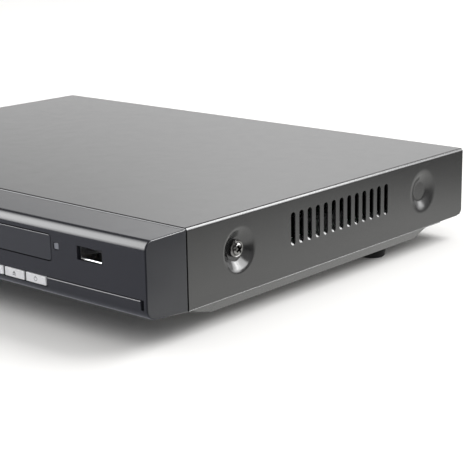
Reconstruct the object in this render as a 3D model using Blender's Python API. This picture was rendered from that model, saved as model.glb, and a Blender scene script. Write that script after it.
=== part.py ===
"""A slim disc player: pressed steel casing, moulded fascia and a motor-driven disc tray.

Model frame while building: X to the right seen from the front, Y towards the back with zero at
the seam between fascia and cover, Z up from the surface that the feet stand on. An empty then
carries everything so that the origin lies below the middle of the whole player.
"""

import math

import bmesh
import bpy
from mathutils import Vector

MM = 0.001
TURN = 2.0 * math.pi
QUARTER = TURN / 4.0

# Fits
GAP = 0.3 * MM
OVERRUN = 1.0 * MM
HAIR = 0.003 * MM
SHARP_ANGLE = math.radians(30.0)

# Casing
CASE_WIDTH = 310.0 * MM
CASE_HEIGHT = 48.0 * MM
COVER_DEPTH = 211.0 * MM
COVER_EDGE_Z = 11.6 * MM
SHEET = 0.8 * MM
COVER_BEND = 1.6 * MM
BEND_STEPS = 4
COVER_STEP_RUN = 20.3 * MM
COVER_STEP_RISE = 0.9 * MM
COVER_CORNER_RUN = 1.8 * MM
COVER_CORNER_RISE = 2.2 * MM
REAR_FLANGE_HEIGHT = 9.0 * MM
REAR_FLANGE_INSET = 4.0 * MM

# Side dimples and slots
DIMPLE_FRONT_RADIUS = 10.5 * MM
DIMPLE_FRONT_FLAT_RADIUS = 4.9 * MM
DIMPLE_FRONT_DEPTH = 3.0 * MM
DIMPLE_REAR_RADIUS = 11.2 * MM
DIMPLE_REAR_FLAT_RADIUS = 4.4 * MM
DIMPLE_REAR_DEPTH = 2.2 * MM
DIMPLE_FRONT_Y = 32.4 * MM
DIMPLE_REAR_SETBACK = 37.4 * MM
DIMPLE_Z = 31.4 * MM
DIMPLE_STEPS = 16
DIMPLE_RING_SHARES = (1.0, 0.8, 0.25, 0.0)
DIMPLE_DEPTH_SHARES = (0.0, 0.16, 0.84, 1.0)
SCREW_HOLE_RADIUS = 1.9 * MM
SLOT_COUNT = 13
SLOT_PITCH = 6.02 * MM
SLOT_SHIFT = 2.32 * MM
SLOT_WIDTH = 3.2 * MM
SLOT_LOW_Z = 25.9 * MM
SLOT_HIGH_Z = 41.1 * MM
SLOT_STEPS = 2

# Chassis pan
PAN_FRONT_Y = 4.3 * MM
PAN_WALL_TOP_Z = 24.0 * MM
PAN_JOGGLE_LOW_Z = 13.4 * MM
PAN_JOGGLE_HIGH_Z = 16.6 * MM
EMBOSS_DEPTH = 5.9 * MM
EMBOSS_SLOPE = 4.1 * MM
EMBOSS_END_SETBACK = 37.0 * MM
EMBOSS_RAMP = 6.0 * MM
EMBOSS_FRONT_RAMP = 1.5 * MM
EMBOSS_CORNER_WIDTH = 13.0 * MM
EMBOSS_CORNER_LENGTH = 14.0 * MM
TAB_HEIGHT = 14.0 * MM
TAB_LENGTH = 16.0 * MM
VENT_COUNT = 6
VENT_PITCH = 10.0 * MM
VENT_WIDTH = 3.0 * MM
VENT_LENGTH = 40.0 * MM
VENT_FIRST_Y = 60.0 * MM
VENT_INSET = 57.0 * MM
POST_RADIUS = 3.6 * MM
POST_STEPS = 8

# Feet
FOOT_RADIUS = 7.5 * MM
FOOT_TAPER = 0.7 * MM
FOOT_ROUNDING = 0.8 * MM
FOOT_STEPS = 20
FOOT_REAR_INSET = 15.4 * MM
FOOT_REAR_SETBACK = 60.0 * MM
FOOT_FRONT_INSET = 43.0 * MM
FOOT_FRONT_Y = 36.0 * MM

# Rear panel
PANEL_FOOT_LENGTH = 10.0 * MM
PANEL_TOP_CLEARANCE = 1.1 * MM

# Screws
SCREW_HEAD_RADIUS = 3.9 * MM
SCREW_HEAD_HEIGHT = 2.0 * MM
SCREW_SHANK_RADIUS = 1.5 * MM
SCREW_LENGTH = 6.0 * MM
SCREW_SOCKET_RADIUS = 1.5 * MM
SCREW_SOCKET_DEPTH = 1.2 * MM
SCREW_CROWN_SHARE = 0.72
SCREW_RIM_SHARE = 0.45
SCREW_STEPS = 12
REAR_SCREW_X_SHARES = (-0.86, 0.0, 0.86)
REAR_SCREW_DROP = 4.6 * MM

# Fascia
FASCIA_DEPTH = 24.5 * MM
FASCIA_BOW = 3.08 * MM
FASCIA_WALL = 2.2 * MM
FASCIA_SEAM = 0.4 * MM
FASCIA_TOP_DROP = 0.8 * MM
FASCIA_BOTTOM_RISE = 1.7 * MM
FASCIA_TOP_RADIUS = 4.2 * MM
FASCIA_BOTTOM_RADIUS = 5.2 * MM
FASCIA_EDGE = 0.5 * MM
FASCIA_ARC_STEPS = 4
FASCIA_STATIONS = 10
LIP_LENGTH = 4.0 * MM
LIP_WALL = 1.5 * MM

# Tray door
DOOR_WIDTH = 146.0 * MM
DOOR_INSET = 56.0 * MM
DOOR_HEIGHT = 11.5 * MM
DOOR_HIGH_Z = 41.4 * MM
DOOR_THICKNESS = 2.4 * MM
DOOR_CORNER = 1.5 * MM
DOOR_GAP = 0.35 * MM
DOOR_RIB_SHARES = (-0.7, 0.0, 0.7)
DOOR_RIB_WIDTH = 6.0 * MM
CORNER_STEPS = 3

# Lower slot, trim bars and buttons
BAR_HEIGHT = 4.1 * MM
BAR_HIGH_Z = 22.1 * MM
BAR_END_GAP = 1.6 * MM
BAR_SLOT_INSET = 1.7 * MM
BAR_PROUD = 0.25 * MM
BUTTON_NAMES = ("power", "eject", "stop", "play")
BUTTON_INSET = 60.0 * MM
BUTTON_PITCH = 14.2 * MM
BUTTON_SPACING = 1.1 * MM
BUTTON_PROUD = 0.7 * MM
BUTTON_DEPTH = 3.6 * MM
BUTTON_TRAVEL = 0.5 * MM
BUTTON_EDGE = 0.25 * MM
BUTTON_STEM_WIDTH = 3.2 * MM
STEM_END_Y = -18.6 * MM
PLUNGER_RADIUS = 1.6 * MM
PLUNGER_LENGTH = 1.6 * MM
SWITCH_WIDTH = 6.0 * MM
ROUND_STEPS = 10

# Key board
KEY_BOARD_Y = -13.0 * MM
BOARD = 1.6 * MM
KEY_BOARD_WIDTH = 108.0 * MM
KEY_BOARD_INSET = 17.0 * MM
KEY_BOARD_HIGH_Z = 28.6 * MM
KEY_BOARD_EAR_HIGH_Z = 41.0 * MM
KEY_BOARD_EAR_WIDTH = 38.0 * MM
KEY_POST_RADIUS = 2.4 * MM
KEY_POST_X_SHARES = (0.207, 0.85)

# Standby light
LENS_INSET = 52.5 * MM
LENS_Z = 37.0 * MM
LENS_SIZE = 2.8 * MM
LENS_RECESS = 0.15 * MM
LED_RADIUS = 1.5 * MM
LED_LENGTH = 4.0 * MM
LED_RIM = 0.4 * MM
LED_RIM_LENGTH = 0.8 * MM
LED_DOME_SHARES = ((1.0, 0.7), (0.7, 0.2))
LED_GAP = 0.4 * MM

# USB socket
USB_INSET = 31.9 * MM
USB_Z = 36.4 * MM
USB_OPENING_WIDTH = 14.8 * MM
USB_OPENING_HEIGHT = 6.1 * MM
USB_WIDTH = 13.1 * MM
USB_HEIGHT = 5.3 * MM
USB_WALL = 0.3 * MM
USB_BACK = 0.6 * MM
USB_RECESS = 1.0 * MM
USB_TONGUE_SETBACK = 4.4 * MM
USB_TONGUE_WIDTH = 11.1 * MM
USB_TONGUE_HEIGHT = 1.8 * MM
USB_TONGUE_RISE = 0.9 * MM
USB_TONGUE_BASE = 1.2 * MM

# Loader frame, round the middle of the tray door
FRAME_SIDE_ROOM = 7.5 * MM
FRAME_WALL = 2.4 * MM
FRAME_FRONT_Y = -6.0 * MM
FRAME_REAR_ROOM = 6.0 * MM
FRAME_LOW_Z = 8.5 * MM
FRAME_HIGH_Z = 39.5 * MM
FRAME_FLOOR = 2.0 * MM
FRAME_FRONT_WALL_Z = 29.2 * MM
FRAME_LEDGE_WIDTH = 7.6 * MM
FRAME_LEDGE = 2.0 * MM
FRAME_DECK_Z = 24.2 * MM
FRAME_DECK = 2.3 * MM
FRAME_WINDOW_HALF = 44.0 * MM
FRAME_WINDOW_SETBACK = 7.5 * MM
CROSS_WALL_Y = 33.7 * MM
CROSS_WALL = 2.5 * MM
EAR_WIDTH = 4.0 * MM
EAR_REACH = 4.5 * MM
EAR_STEPS = 4
LOADER_POST_INSET = 6.0 * MM
LOADER_POST_SETBACK = 9.0 * MM

# Disc tray
TRAY_SIDE_RIM = 3.9 * MM
TRAY_FRONT_Y = -23.2 * MM
TRAY_REAR_Y = 162.0 * MM
TRAY_LOW_Z = 33.0 * MM
TRAY_RIM_Z = 40.0 * MM
TRAY_CORNER = 4.0 * MM
TRAY_SIDE_STEP = 3.0 * MM
TRAY_SIDE_LOW_Z = 37.4 * MM
TRAY_SIDE_SETBACK = 8.0 * MM
DISC_RADIUS = 60.0 * MM
SMALL_DISC_RADIUS = 40.0 * MM
DISC_PLAY = 0.6 * MM
RECESS_DRAFT = 0.6 * MM
RIM_DRAFT = 1.2 * MM
DISC_FLOOR_Z = 35.8 * MM
SMALL_FLOOR_Z = 34.6 * MM
SPINDLE_Y = 48.0 * MM
SLOT_HALF = 21.0 * MM
FINGER_RADIUS = 13.0 * MM
RECESS_STEPS = 36
HOLE_STEPS = 10

# Tray drive
MODULE = 1.0 * MM
PRESSURE_ANGLE = math.radians(20.0)
ADDENDUM_SHARE = 0.75
DEDENDUM_SHARE = 0.98
BACKLASH = 0.24 * MM
DRIVE_TEETH = 34
PINION_TEETH = 14
PULLEY_TEETH = 12
STRAIGHT_FLANK_TEETH = 20
DRIVE_OFFSET = 50.0 * MM
DRIVE_Y = 17.0 * MM
PULLEY_BEARING = math.radians(-12.0)
GEAR_THICKNESS = 2.5 * MM
PINION_LOW_Z = 30.3 * MM
RACK_BACK = 3.0 * MM
RACK_LENGTH = 141.0 * MM
RACK_LEAD = 3.0 * MM
PIN_RADIUS = 1.5 * MM
HUB_RADIUS = 4.0 * MM
PULLEY_RADIUS = 14.0 * MM
PULLEY_THICKNESS = 2.4 * MM
GROOVE_DEPTH = 1.0 * MM
GROOVE_WIDTH = 1.4 * MM
GROOVE_FLARE = 0.15 * MM
PULLEY_STEPS = 24
MOTOR_PULLEY_RADIUS = 3.5 * MM
MOTOR_OFFSET = 6.0 * MM
MOTOR_Y = 18.9 * MM
MOTOR_RADIUS = 11.0 * MM
MOTOR_LOW_Z = 9.6 * MM
MOTOR_BOSS_RADIUS = 2.5 * MM
MOTOR_SHAFT_RADIUS = 1.0 * MM
MOTOR_EDGE = 1.0 * MM
BELT_WIDTH = 0.9 * MM
BELT_HEIGHT = 0.9 * MM
BELT_STEPS = 14

# Traverse
TRAVERSE_Z = 20.5 * MM
TRAVERSE = 2.5 * MM
TRAVERSE_HALF = 33.0 * MM
TRAVERSE_FRONT_REACH = 10.0 * MM
TRAVERSE_REAR_Y = 157.0 * MM
HINGE_SETBACK = 3.0 * MM
HINGE_PIN_RADIUS = 2.0 * MM
TRAVERSE_CORNER = 5.0 * MM
TRAVERSE_DROP = math.radians(3.5)
PICKUP_WINDOW_HALF = 17.0 * MM
PICKUP_WINDOW_FRONT = 15.0 * MM
PICKUP_WINDOW_LENGTH = 59.0 * MM

# Cam slide
CAM_TRAVEL = 20.0 * MM
CAM_PIN_RADIUS = 1.1 * MM
CAM_PIN_REACH = 4.0 * MM
CAM_THICKNESS = 2.5 * MM
CAM_LEFT = 27.0 * MM
CAM_RIGHT = 8.0 * MM
CAM_LOW_Z = 10.8 * MM
CAM_HIGH_Z = 25.6 * MM
CAM_SLOT_PLAY = 0.45 * MM
ARC_STEPS = 6

# Spindle and clamp
SPINDLE_MOTOR_RADIUS = 10.5 * MM
SPINDLE_MOTOR_LOW_Z = 14.6 * MM
SPINDLE_BUSH_RADIUS = 4.0 * MM
SPINDLE_BUSH_Z = 25.0 * MM
SPINDLE_SHAFT_RADIUS = 1.2 * MM
TABLE_RADIUS = 14.5 * MM
TABLE_THICKNESS = 2.5 * MM
DISC_PLANE_Z = 36.5 * MM
DISC_THICKNESS = 1.2 * MM
HUB_TOP_Z = 39.0 * MM
HUB_CONE_RADIUS = 7.3 * MM
HUB_TOP_RADIUS = 6.0 * MM
BRIDGE_Z = 41.8 * MM
BRIDGE = 1.2 * MM
BRIDGE_WIDTH = 30.0 * MM
BRIDGE_HOLE_RADIUS = 12.0 * MM
CLAMP_RADIUS = 11.0 * MM
CLAMP_FLANGE_RADIUS = 15.0 * MM
CLAMP_FLANGE = 1.5 * MM
CLAMP_RECESS_RADIUS = 8.2 * MM
CLAMP_RECESS_Z = 39.8 * MM

# Pickup and its guides
PICKUP_REST_RADIUS = 24.0 * MM
PICKUP_HALF_WIDTH = 25.0 * MM
PICKUP_FRONT = 9.0 * MM
PICKUP_BACK = 13.0 * MM
PICKUP_LOW_Z = 23.6 * MM
PICKUP_HIGH_Z = 32.4 * MM
PICKUP_SHOULDER_Z = 28.4 * MM
PICKUP_TOWER_HALF = 15.0 * MM
ROD_X = 21.0 * MM
ROD_Z = 26.0 * MM
ROD_RADIUS = 1.5 * MM
ROD_OVERLAP = 7.0 * MM
ROD_LENGTH = 72.0 * MM
CLIP_LENGTH = 3.0 * MM
CLIP_HALF_WIDTH = 3.4 * MM
LENS_RADIUS = 2.3 * MM
LENS_HOLDER_RADIUS = 5.0 * MM
LENS_TOP_Z = 34.8 * MM
LENS_HOLDER_HEIGHT = 2.6 * MM
LENS_WELL_DEPTH = 3.4 * MM
LENS_CROWN = 0.5 * MM
LENS_CROWN_SHARES = (0.6, 0.7)
SCREW_AXIS_X = 29.2 * MM
LEAD_RADIUS = 1.5 * MM
NUT_HALF_WIDTH = 2.6 * MM
SLED_MOTOR_RADIUS = 5.4 * MM
SLED_MOTOR_LENGTH = 14.0 * MM
SLED_MOTOR_EDGE = 0.5 * MM

# Power supply board, left of the loader
BOARD_Z = 14.2 * MM
PSU_INSET = 11.0 * MM
PSU_LOADER_GAP = 12.0 * MM
PSU_FRONT_Y = 26.0 * MM
PSU_REAR_Y = 128.0 * MM
BOARD_HOLE_INSET = 5.0 * MM
TRANSFORMER_SIZE = (30.0 * MM, 26.0 * MM, 20.0 * MM)
TRANSFORMER_CORE = 8.0 * MM
WINDING_INSET = 4.0 * MM
WINDING_DROP = 3.0 * MM
WINDING_ROUNDING = 4.0 * MM
TRANSFORMER_OFFSET = 40.0 * MM
TRANSFORMER_Y = 84.0 * MM
CAPACITOR_RADIUS = 8.0 * MM
CAPACITOR_HEIGHT = 25.0 * MM
CAPACITOR_OFFSET = 14.0 * MM
CAPACITOR_Y = 100.0 * MM
CAPACITOR_BEAD = 0.8 * MM
SMALL_CAPACITOR_RADIUS = 5.0 * MM
SMALL_CAPACITOR_HEIGHT = 16.0 * MM
SMALL_CAPACITOR_INSET = 12.0 * MM
SMALL_CAPACITOR_PLACES = (60.0 * MM, 74.0 * MM, 88.0 * MM)
SINK_OFFSET = 44.0 * MM
SINK_Y = 50.0 * MM
SINK_LENGTH = 30.0 * MM
SINK_HEIGHT = 22.0 * MM
SINK_FIN = 1.6 * MM
SINK_BASE = 2.4 * MM
SINK_FINS = 4
SINK_DEPTH = 14.0 * MM

# Main board, right of and behind the loader
MAIN_LEFT_REACH = 4.0 * MM
MAIN_LOADER_GAP = 3.0 * MM
MAIN_INSET = 9.0 * MM
MAIN_FRONT_Y = 60.0 * MM
MAIN_PANEL_GAP = 2.1 * MM
CHIP_SIZE = 24.0 * MM
CHIP_HEIGHT = 2.2 * MM
CHIP_INSET = 22.0 * MM
CHIP_Y = 120.0 * MM
CHIP_SINK_HEIGHT = 8.0 * MM
CHIP_SINK_BASE = 2.0 * MM
CHIP_SINK_FINS = 6
CHIP_SINK_FIN = 1.4 * MM
RIBBON_WIDTH = 12.0 * MM
RIBBON_THICKNESS = 0.4 * MM
RIBBON_INSET = 25.0 * MM
RIBBON_BOARD_Y = 72.0 * MM
RIBBON_PLUG_LENGTH = 4.0 * MM
RIBBON_PLUG_HEIGHT = 4.5 * MM
RIBBON_PLUG_MARGIN = 1.0 * MM
RIBBON_HUMP = 7.0 * MM
RIBBON_STEPS = 12

# Rear sockets
INLET_INSET = 31.0 * MM
INLET_Z = 26.0 * MM
INLET_PIN_SPACING = 8.6 * MM
INLET_LOBE_RADIUS = 4.2 * MM
INLET_LOBE_SHARE = 0.3
INLET_STEPS = 5
INLET_WAIST_HALF = 3.0 * MM
INLET_BODY_WALL = 2.0 * MM
INLET_RIM_WALL = 3.2 * MM
INLET_LENGTH = 19.0 * MM
INLET_MOUTH_DEPTH = 14.5 * MM
INLET_PIN_RADIUS = 1.2 * MM
INLET_PIN_SETBACK = 1.6 * MM
INLET_TAG = 2.0 * MM
INLET_RIM = 1.2 * MM
INLET_SHELF_HALF = 7.0 * MM
HDMI_OFFSET = -6.0 * MM
HDMI_WIDTH = 15.4 * MM
HDMI_HEIGHT = 6.0 * MM
HDMI_LENGTH = 12.0 * MM
HDMI_WALL = 0.4 * MM
HDMI_BACK = 0.8 * MM
HDMI_TONGUE_SETBACK = 1.0 * MM
HDMI_CHAMFER = 1.6 * MM
HDMI_TONGUE_WIDTH = 12.0 * MM
HDMI_TONGUE_HEIGHT = 1.0 * MM
JACK_COUNT = 4
JACK_OFFSET = 36.0 * MM
JACK_PITCH = 15.0 * MM
JACK_Z = 27.0 * MM
JACK_RADIUS = 4.2 * MM
JACK_BORE_RADIUS = 1.8 * MM
JACK_REACH = 8.0 * MM
JACK_BODY_HALF = 5.6 * MM
JACK_BODY_DEPTH = 10.0 * MM

CASE_HALF = CASE_WIDTH / 2.0
WALL_INSIDE = CASE_HALF - SHEET
INSIDE_HALF = WALL_INSIDE - GAP
PAN_WALL_X = CASE_HALF - DIMPLE_FRONT_DEPTH - SHEET - GAP
PAN_FLOOR_Z = COVER_EDGE_Z - EMBOSS_DEPTH
PAN_FLOOR_TOP_Z = PAN_FLOOR_Z + SHEET
FASCIA_FLOOR_Z = COVER_EDGE_Z + FASCIA_BOTTOM_RISE + FASCIA_WALL
PANEL_FACE_Y = COVER_DEPTH - SHEET - GAP
PANEL_BACK_Y = PANEL_FACE_Y - SHEET

COVER_STEP_Y = COVER_DEPTH - COVER_STEP_RUN
DIMPLE_REAR_Y = COVER_DEPTH - DIMPLE_REAR_SETBACK
SLOT_FIRST_Y = (DIMPLE_FRONT_Y + DIMPLE_REAR_Y - (SLOT_COUNT - 1) * SLOT_PITCH) / 2.0 + SLOT_SHIFT
EMBOSS_END_Y = COVER_DEPTH - EMBOSS_END_SETBACK
VENT_MIDDLE_X = VENT_INSET - CASE_HALF
FOOT_REAR_X = CASE_HALF - FOOT_REAR_INSET
FOOT_REAR_Y = COVER_DEPTH - FOOT_REAR_SETBACK
FOOT_FRONT_X = CASE_HALF - FOOT_FRONT_INSET

DOOR_RIGHT_X = CASE_HALF - DOOR_INSET
DOOR_LEFT_X = DOOR_RIGHT_X - DOOR_WIDTH
DOOR_LOW_Z = DOOR_HIGH_Z - DOOR_HEIGHT
BAR_LOW_Z = BAR_HIGH_Z - BAR_HEIGHT
BAR_SLOT_END_X = CASE_HALF - BAR_SLOT_INSET
BAR_END_X = BAR_SLOT_END_X - BAR_END_GAP
BUTTON_RIGHT_X = CASE_HALF - BUTTON_INSET
KEY_BOARD_RIGHT_X = CASE_HALF - KEY_BOARD_INSET
KEY_BOARD_LEFT_X = KEY_BOARD_RIGHT_X - KEY_BOARD_WIDTH
KEY_BOARD_EAR_LEFT_X = KEY_BOARD_RIGHT_X - KEY_BOARD_EAR_WIDTH
LENS_X = CASE_HALF - LENS_INSET
USB_X = CASE_HALF - USB_INSET

LOADER_X = (DOOR_LEFT_X + DOOR_RIGHT_X) / 2.0
TRAY_HALF_WIDTH = DISC_RADIUS + DISC_PLAY + TRAY_SIDE_RIM
FRAME_HALF_WIDTH = TRAY_HALF_WIDTH + FRAME_SIDE_ROOM
FRAME_REAR_Y = TRAY_REAR_Y + FRAME_REAR_ROOM
FRAME_WINDOW_END_Y = FRAME_REAR_Y - FRAME_WINDOW_SETBACK
TRAVERSE_FRONT_Y = SPINDLE_Y - TRAVERSE_FRONT_REACH
HINGE_Y = TRAVERSE_REAR_Y - HINGE_SETBACK
PICKUP_WINDOW_FRONT_Y = SPINDLE_Y + PICKUP_WINDOW_FRONT
PICKUP_WINDOW_REAR_Y = PICKUP_WINDOW_FRONT_Y + PICKUP_WINDOW_LENGTH
ROD_FRONT_Y = PICKUP_WINDOW_FRONT_Y - ROD_OVERLAP
ROD_REAR_Y = ROD_FRONT_Y + ROD_LENGTH

PSU_LEFT_X = PSU_INSET - CASE_HALF
PSU_RIGHT_X = LOADER_X - FRAME_HALF_WIDTH - PSU_LOADER_GAP
TRANSFORMER_X = PSU_LEFT_X + TRANSFORMER_OFFSET
CAPACITOR_X = PSU_LEFT_X + CAPACITOR_OFFSET
SMALL_CAPACITOR_X = PSU_RIGHT_X - SMALL_CAPACITOR_INSET
SINK_X = PSU_LEFT_X + SINK_OFFSET
MAIN_LEFT_X = LOADER_X - FRAME_HALF_WIDTH - MAIN_LEFT_REACH
MAIN_INNER_X = LOADER_X + FRAME_HALF_WIDTH + MAIN_LOADER_GAP
MAIN_RIGHT_X = CASE_HALF - MAIN_INSET
MAIN_INNER_Y = FRAME_REAR_Y + MAIN_LOADER_GAP
MAIN_REAR_Y = PANEL_BACK_Y - MAIN_PANEL_GAP
CHIP_X = MAIN_RIGHT_X - CHIP_INSET
RIBBON_X = MAIN_RIGHT_X - RIBBON_INSET
INLET_X = INLET_INSET - CASE_HALF
HDMI_X = LOADER_X + HDMI_OFFSET
JACK_FIRST_X = LOADER_X + JACK_OFFSET

HINGE_Z = TRAVERSE_Z + TRAVERSE / 2.0
GEAR_LOW_Z = FRAME_DECK_Z + GAP
GEAR_HIGH_Z = GEAR_LOW_Z + GEAR_THICKNESS
PULLEY_LOW_Z = GEAR_HIGH_Z + GAP
BELT_Z = PULLEY_LOW_Z + PULLEY_THICKNESS / 2.0
PICKUP_Y = SPINDLE_Y + PICKUP_REST_RADIUS
BUTTON_WIDTH = BUTTON_PITCH - BUTTON_SPACING

SCENE_OBJECTS = list(bpy.data.objects)
for leftover in SCENE_OBJECTS:
    bpy.data.objects.remove(leftover, do_unlink=True)


def bowed_front(x):
    """Front plane of the fascia: a shallow parabola, deepest at the middle."""
    return -(FASCIA_DEPTH + FASCIA_BOW * (1.0 - (x / CASE_HALF) ** 2))


BUTTON_REACH_Y = min(
    bowed_front(BUTTON_RIGHT_X - BUTTON_WIDTH / 2.0 - k * BUTTON_PITCH)
    for k in range(len(BUTTON_NAMES))
) - BUTTON_PROUD
REAR_REACH_Y = PANEL_FACE_Y + JACK_REACH
ORIGIN_Y = (BUTTON_REACH_Y + REAR_REACH_Y) / 2.0

PLAYER = bpy.data.objects.new("player", None)
PLAYER.location = (0.0, -ORIGIN_Y, 0.0)
bpy.context.scene.collection.objects.link(PLAYER)

LETTERS = "XYZ"
PLANES = {"X": "YZX", "Y": "XZY", "Z": "XYZ"}


def in_space(axis, first, second, along):
    """A point from two outline coordinates and a place along the axis square to them."""
    point = Vector((0.0, 0.0, 0.0))
    for letter, value in zip(PLANES[axis], (first, second, along)):
        point[LETTERS.index(letter)] = value
    return point


def distinct(points):
    """The points of a closed outline without immediate repeats."""
    kept = []
    for point in points:
        if not kept or (Vector(point) - Vector(kept[-1])).length > HAIR:
            kept.append(point)
    if (Vector(kept[0]) - Vector(kept[-1])).length < HAIR:
        kept.pop()
    return kept


def arc(centre, radius, start, end, steps):
    """Points on an arc of a circle, both ends included; angles in radians."""
    points = []
    for k in range(steps + 1):
        angle = start + (end - start) * k / steps
        points.append((centre[0] + radius * math.cos(angle), centre[1] + radius * math.sin(angle)))
    return points


def circle(centre, radius, steps):
    return arc(centre, radius, 0.0, TURN, steps)[:-1]


def rectangle(low_first, high_first, low_second, high_second):
    return [
        (low_first, low_second),
        (high_first, low_second),
        (high_first, high_second),
        (low_first, high_second),
    ]


def rounded(low_first, high_first, low_second, high_second, radius, steps):
    """A rectangle with round corners, or a slot with round ends."""
    corners = (
        (high_first - radius, high_second - radius),
        (low_first + radius, high_second - radius),
        (low_first + radius, low_second + radius),
        (high_first - radius, low_second + radius),
    )
    points = []
    for quarter, centre in enumerate(corners):
        points += arc(centre, radius, quarter * QUARTER, (quarter + 1) * QUARTER, steps)
    return distinct(points)


def offset_chain(points, distance, closed=False):
    """Moves each segment of a chain to its left by a distance, with mitred corners."""
    moved = []
    count = len(points)
    for i in range(count):
        here = Vector(points[i])
        before = Vector(points[i - 1]) if closed or i > 0 else None
        after = Vector(points[(i + 1) % count]) if closed or i < count - 1 else None
        normals = []
        for start, end in ((before, here), (here, after)):
            if start is not None and end is not None:
                run = (end - start).normalized()
                normals.append(Vector((-run.y, run.x)))
        mitre = normals[0] + normals[-1]
        mitre = mitre / mitre.length
        reach = distance / mitre.dot(normals[0])
        moved.append(tuple(here + mitre * reach))
    return moved


def sheet_outline(chain, thickness):
    """The closed outline of a bent sheet whose outer side follows the chain."""
    return list(chain) + list(reversed(offset_chain(chain, thickness)))


def loft(bm, rings, closed=False):
    """Skins a row of rings with equal counts and caps its ends, or joins the last to the first."""
    rows = [[bm.verts.new(point) for point in ring] for ring in rings]
    pairs = list(zip(rows, rows[1:]))
    if closed:
        pairs.append((rows[-1], rows[0]))
    for row, following in pairs:
        for i in range(len(row)):
            j = (i + 1) % len(row)
            bm.faces.new((row[i], row[j], following[j], following[i]))
    if not closed:
        bm.faces.new(list(reversed(rows[0])))
        bm.faces.new(rows[-1])


def prism(bm, axis, outline, low, high):
    """Extrudes a closed outline along an axis."""
    rings = [[in_space(axis, a, b, level) for a, b in outline] for level in (low, high)]
    loft(bm, rings)


def turned(bm, axis, centre, profile, steps, closed=False):
    """Turns a profile of (radius, place along the axis) about a line through the centre."""
    columns = []
    for radius, along in profile:
        if radius == 0:
            columns.append([bm.verts.new(in_space(axis, centre[0], centre[1], along))] * steps)
            continue
        ring = circle(centre, radius, steps)
        columns.append([bm.verts.new(in_space(axis, a, b, along)) for a, b in ring])
    pairs = list(zip(columns, columns[1:]))
    if closed:
        pairs.append((columns[-1], columns[0]))
    for inner, outer in pairs:
        for k in range(steps):
            m = (k + 1) % steps
            corners = list(dict.fromkeys((inner[k], inner[m], outer[m], outer[k])))
            if len(corners) > 2:
                bm.faces.new(corners)


def cylinder(bm, axis, centre, radius, low, high, steps):
    prism(bm, axis, circle(centre, radius, steps), low, high)


def finish(name, colour, roughness, metallic=0.0):
    """A plain material: colour, roughness and metal share."""
    made = bpy.data.materials.new(name)
    made.use_nodes = True
    shader = made.node_tree.nodes["Principled BSDF"]
    shader.inputs["Base Color"].default_value = (*colour, 1.0)
    shader.inputs["Roughness"].default_value = roughness
    shader.inputs["Metallic"].default_value = metallic
    return made


def new_object(name, bm):
    bmesh.ops.recalc_face_normals(bm, faces=bm.faces)
    mesh = bpy.data.meshes.new(name)
    bm.to_mesh(mesh)
    bm.free()
    made = bpy.data.objects.new(name, mesh)
    made.parent = PLAYER
    bpy.context.scene.collection.objects.link(made)
    return made


def piece(name, look, build, pivot=(0.0, 0.0, 0.0)):
    """One named sub-part; build fills its mesh, and pivot becomes its origin."""
    bm = bmesh.new()
    build(bm)
    bmesh.ops.translate(bm, verts=bm.verts, vec=-Vector(pivot))
    made = new_object(name, bm)
    made.location = pivot
    made.data.materials.append(finish(name, *look))
    made.data.shade_smooth()
    made.data.set_sharp_from_angle(angle=SHARP_ANGLE)
    return made


def shape_with(target, operation, label, build):
    """Cuts a hidden tool out of the target, joins it on, or keeps what both share."""
    bm = bmesh.new()
    build(bm)
    tool = new_object(target.name + "_" + label, bm)
    tool.hide_render = True
    tool.display_type = "WIRE"
    modifier = target.modifiers.new(label, "BOOLEAN")
    modifier.operation = operation
    modifier.object = tool


def cut(target, label, build):
    shape_with(target, "DIFFERENCE", label, build)


def join(target, label, build):
    shape_with(target, "UNION", label, build)


PAINTED_STEEL = ((0.06, 0.061, 0.062), 0.35, 0.1)
ZINC_STEEL = ((0.62, 0.63, 0.64), 0.4, 0.9)
BRIGHT_STEEL = ((0.75, 0.75, 0.76), 0.25, 1.0)
DARK_PLASTIC = ((0.03, 0.0315, 0.036), 0.35)
DOOR_PLASTIC = ((0.04, 0.042, 0.049), 0.35)
BLACK_PLASTIC = ((0.02, 0.02, 0.02), 0.5)
BLACK_RUBBER = ((0.012, 0.012, 0.012), 0.8)
WHITE_PLASTIC = ((0.85, 0.85, 0.86), 0.4)
NATURAL_PLASTIC = ((0.75, 0.74, 0.7), 0.5)
GREY_PLASTIC = ((0.25, 0.25, 0.26), 0.5)
BOARD_GREEN = ((0.03, 0.18, 0.07), 0.5)
BOARD_TAN = ((0.45, 0.3, 0.12), 0.6)
SCREW_BLACK = ((0.03, 0.03, 0.03), 0.3, 0.8)
CLEAR_PLASTIC = ((0.7, 0.72, 0.75), 0.15)
LENS_GLASS = ((0.25, 0.3, 0.55), 0.05)
ALUMINIUM = ((0.7, 0.71, 0.72), 0.35, 1.0)


def dimple_profile(rim, floor, depth, grow, mouth):
    """Pressed dimple as (radius, depth): a smooth slope from its rim to a flat bottom."""
    profile = [(0.0, mouth)]
    if mouth < 0:
        profile.append((rim + grow, mouth))
    for ring, share in zip(DIMPLE_RING_SHARES, DIMPLE_DEPTH_SHARES):
        profile.append((floor + (rim - floor) * ring + grow, depth * share + grow))
    profile.append((0.0, depth + grow))
    return profile


def for_each_dimple(bm, grow, mouth):
    dimples = (
        (DIMPLE_FRONT_Y, DIMPLE_FRONT_RADIUS, DIMPLE_FRONT_FLAT_RADIUS, DIMPLE_FRONT_DEPTH),
        (DIMPLE_REAR_Y, DIMPLE_REAR_RADIUS, DIMPLE_REAR_FLAT_RADIUS, DIMPLE_REAR_DEPTH),
    )
    for side in (-1.0, 1.0):
        for y, rim, floor, depth in dimples:
            profile = dimple_profile(rim, floor, depth, grow, mouth)
            turned(bm, "X", (y, DIMPLE_Z), [(r, side * (CASE_HALF - d)) for r, d in profile],
                   DIMPLE_STEPS)


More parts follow.
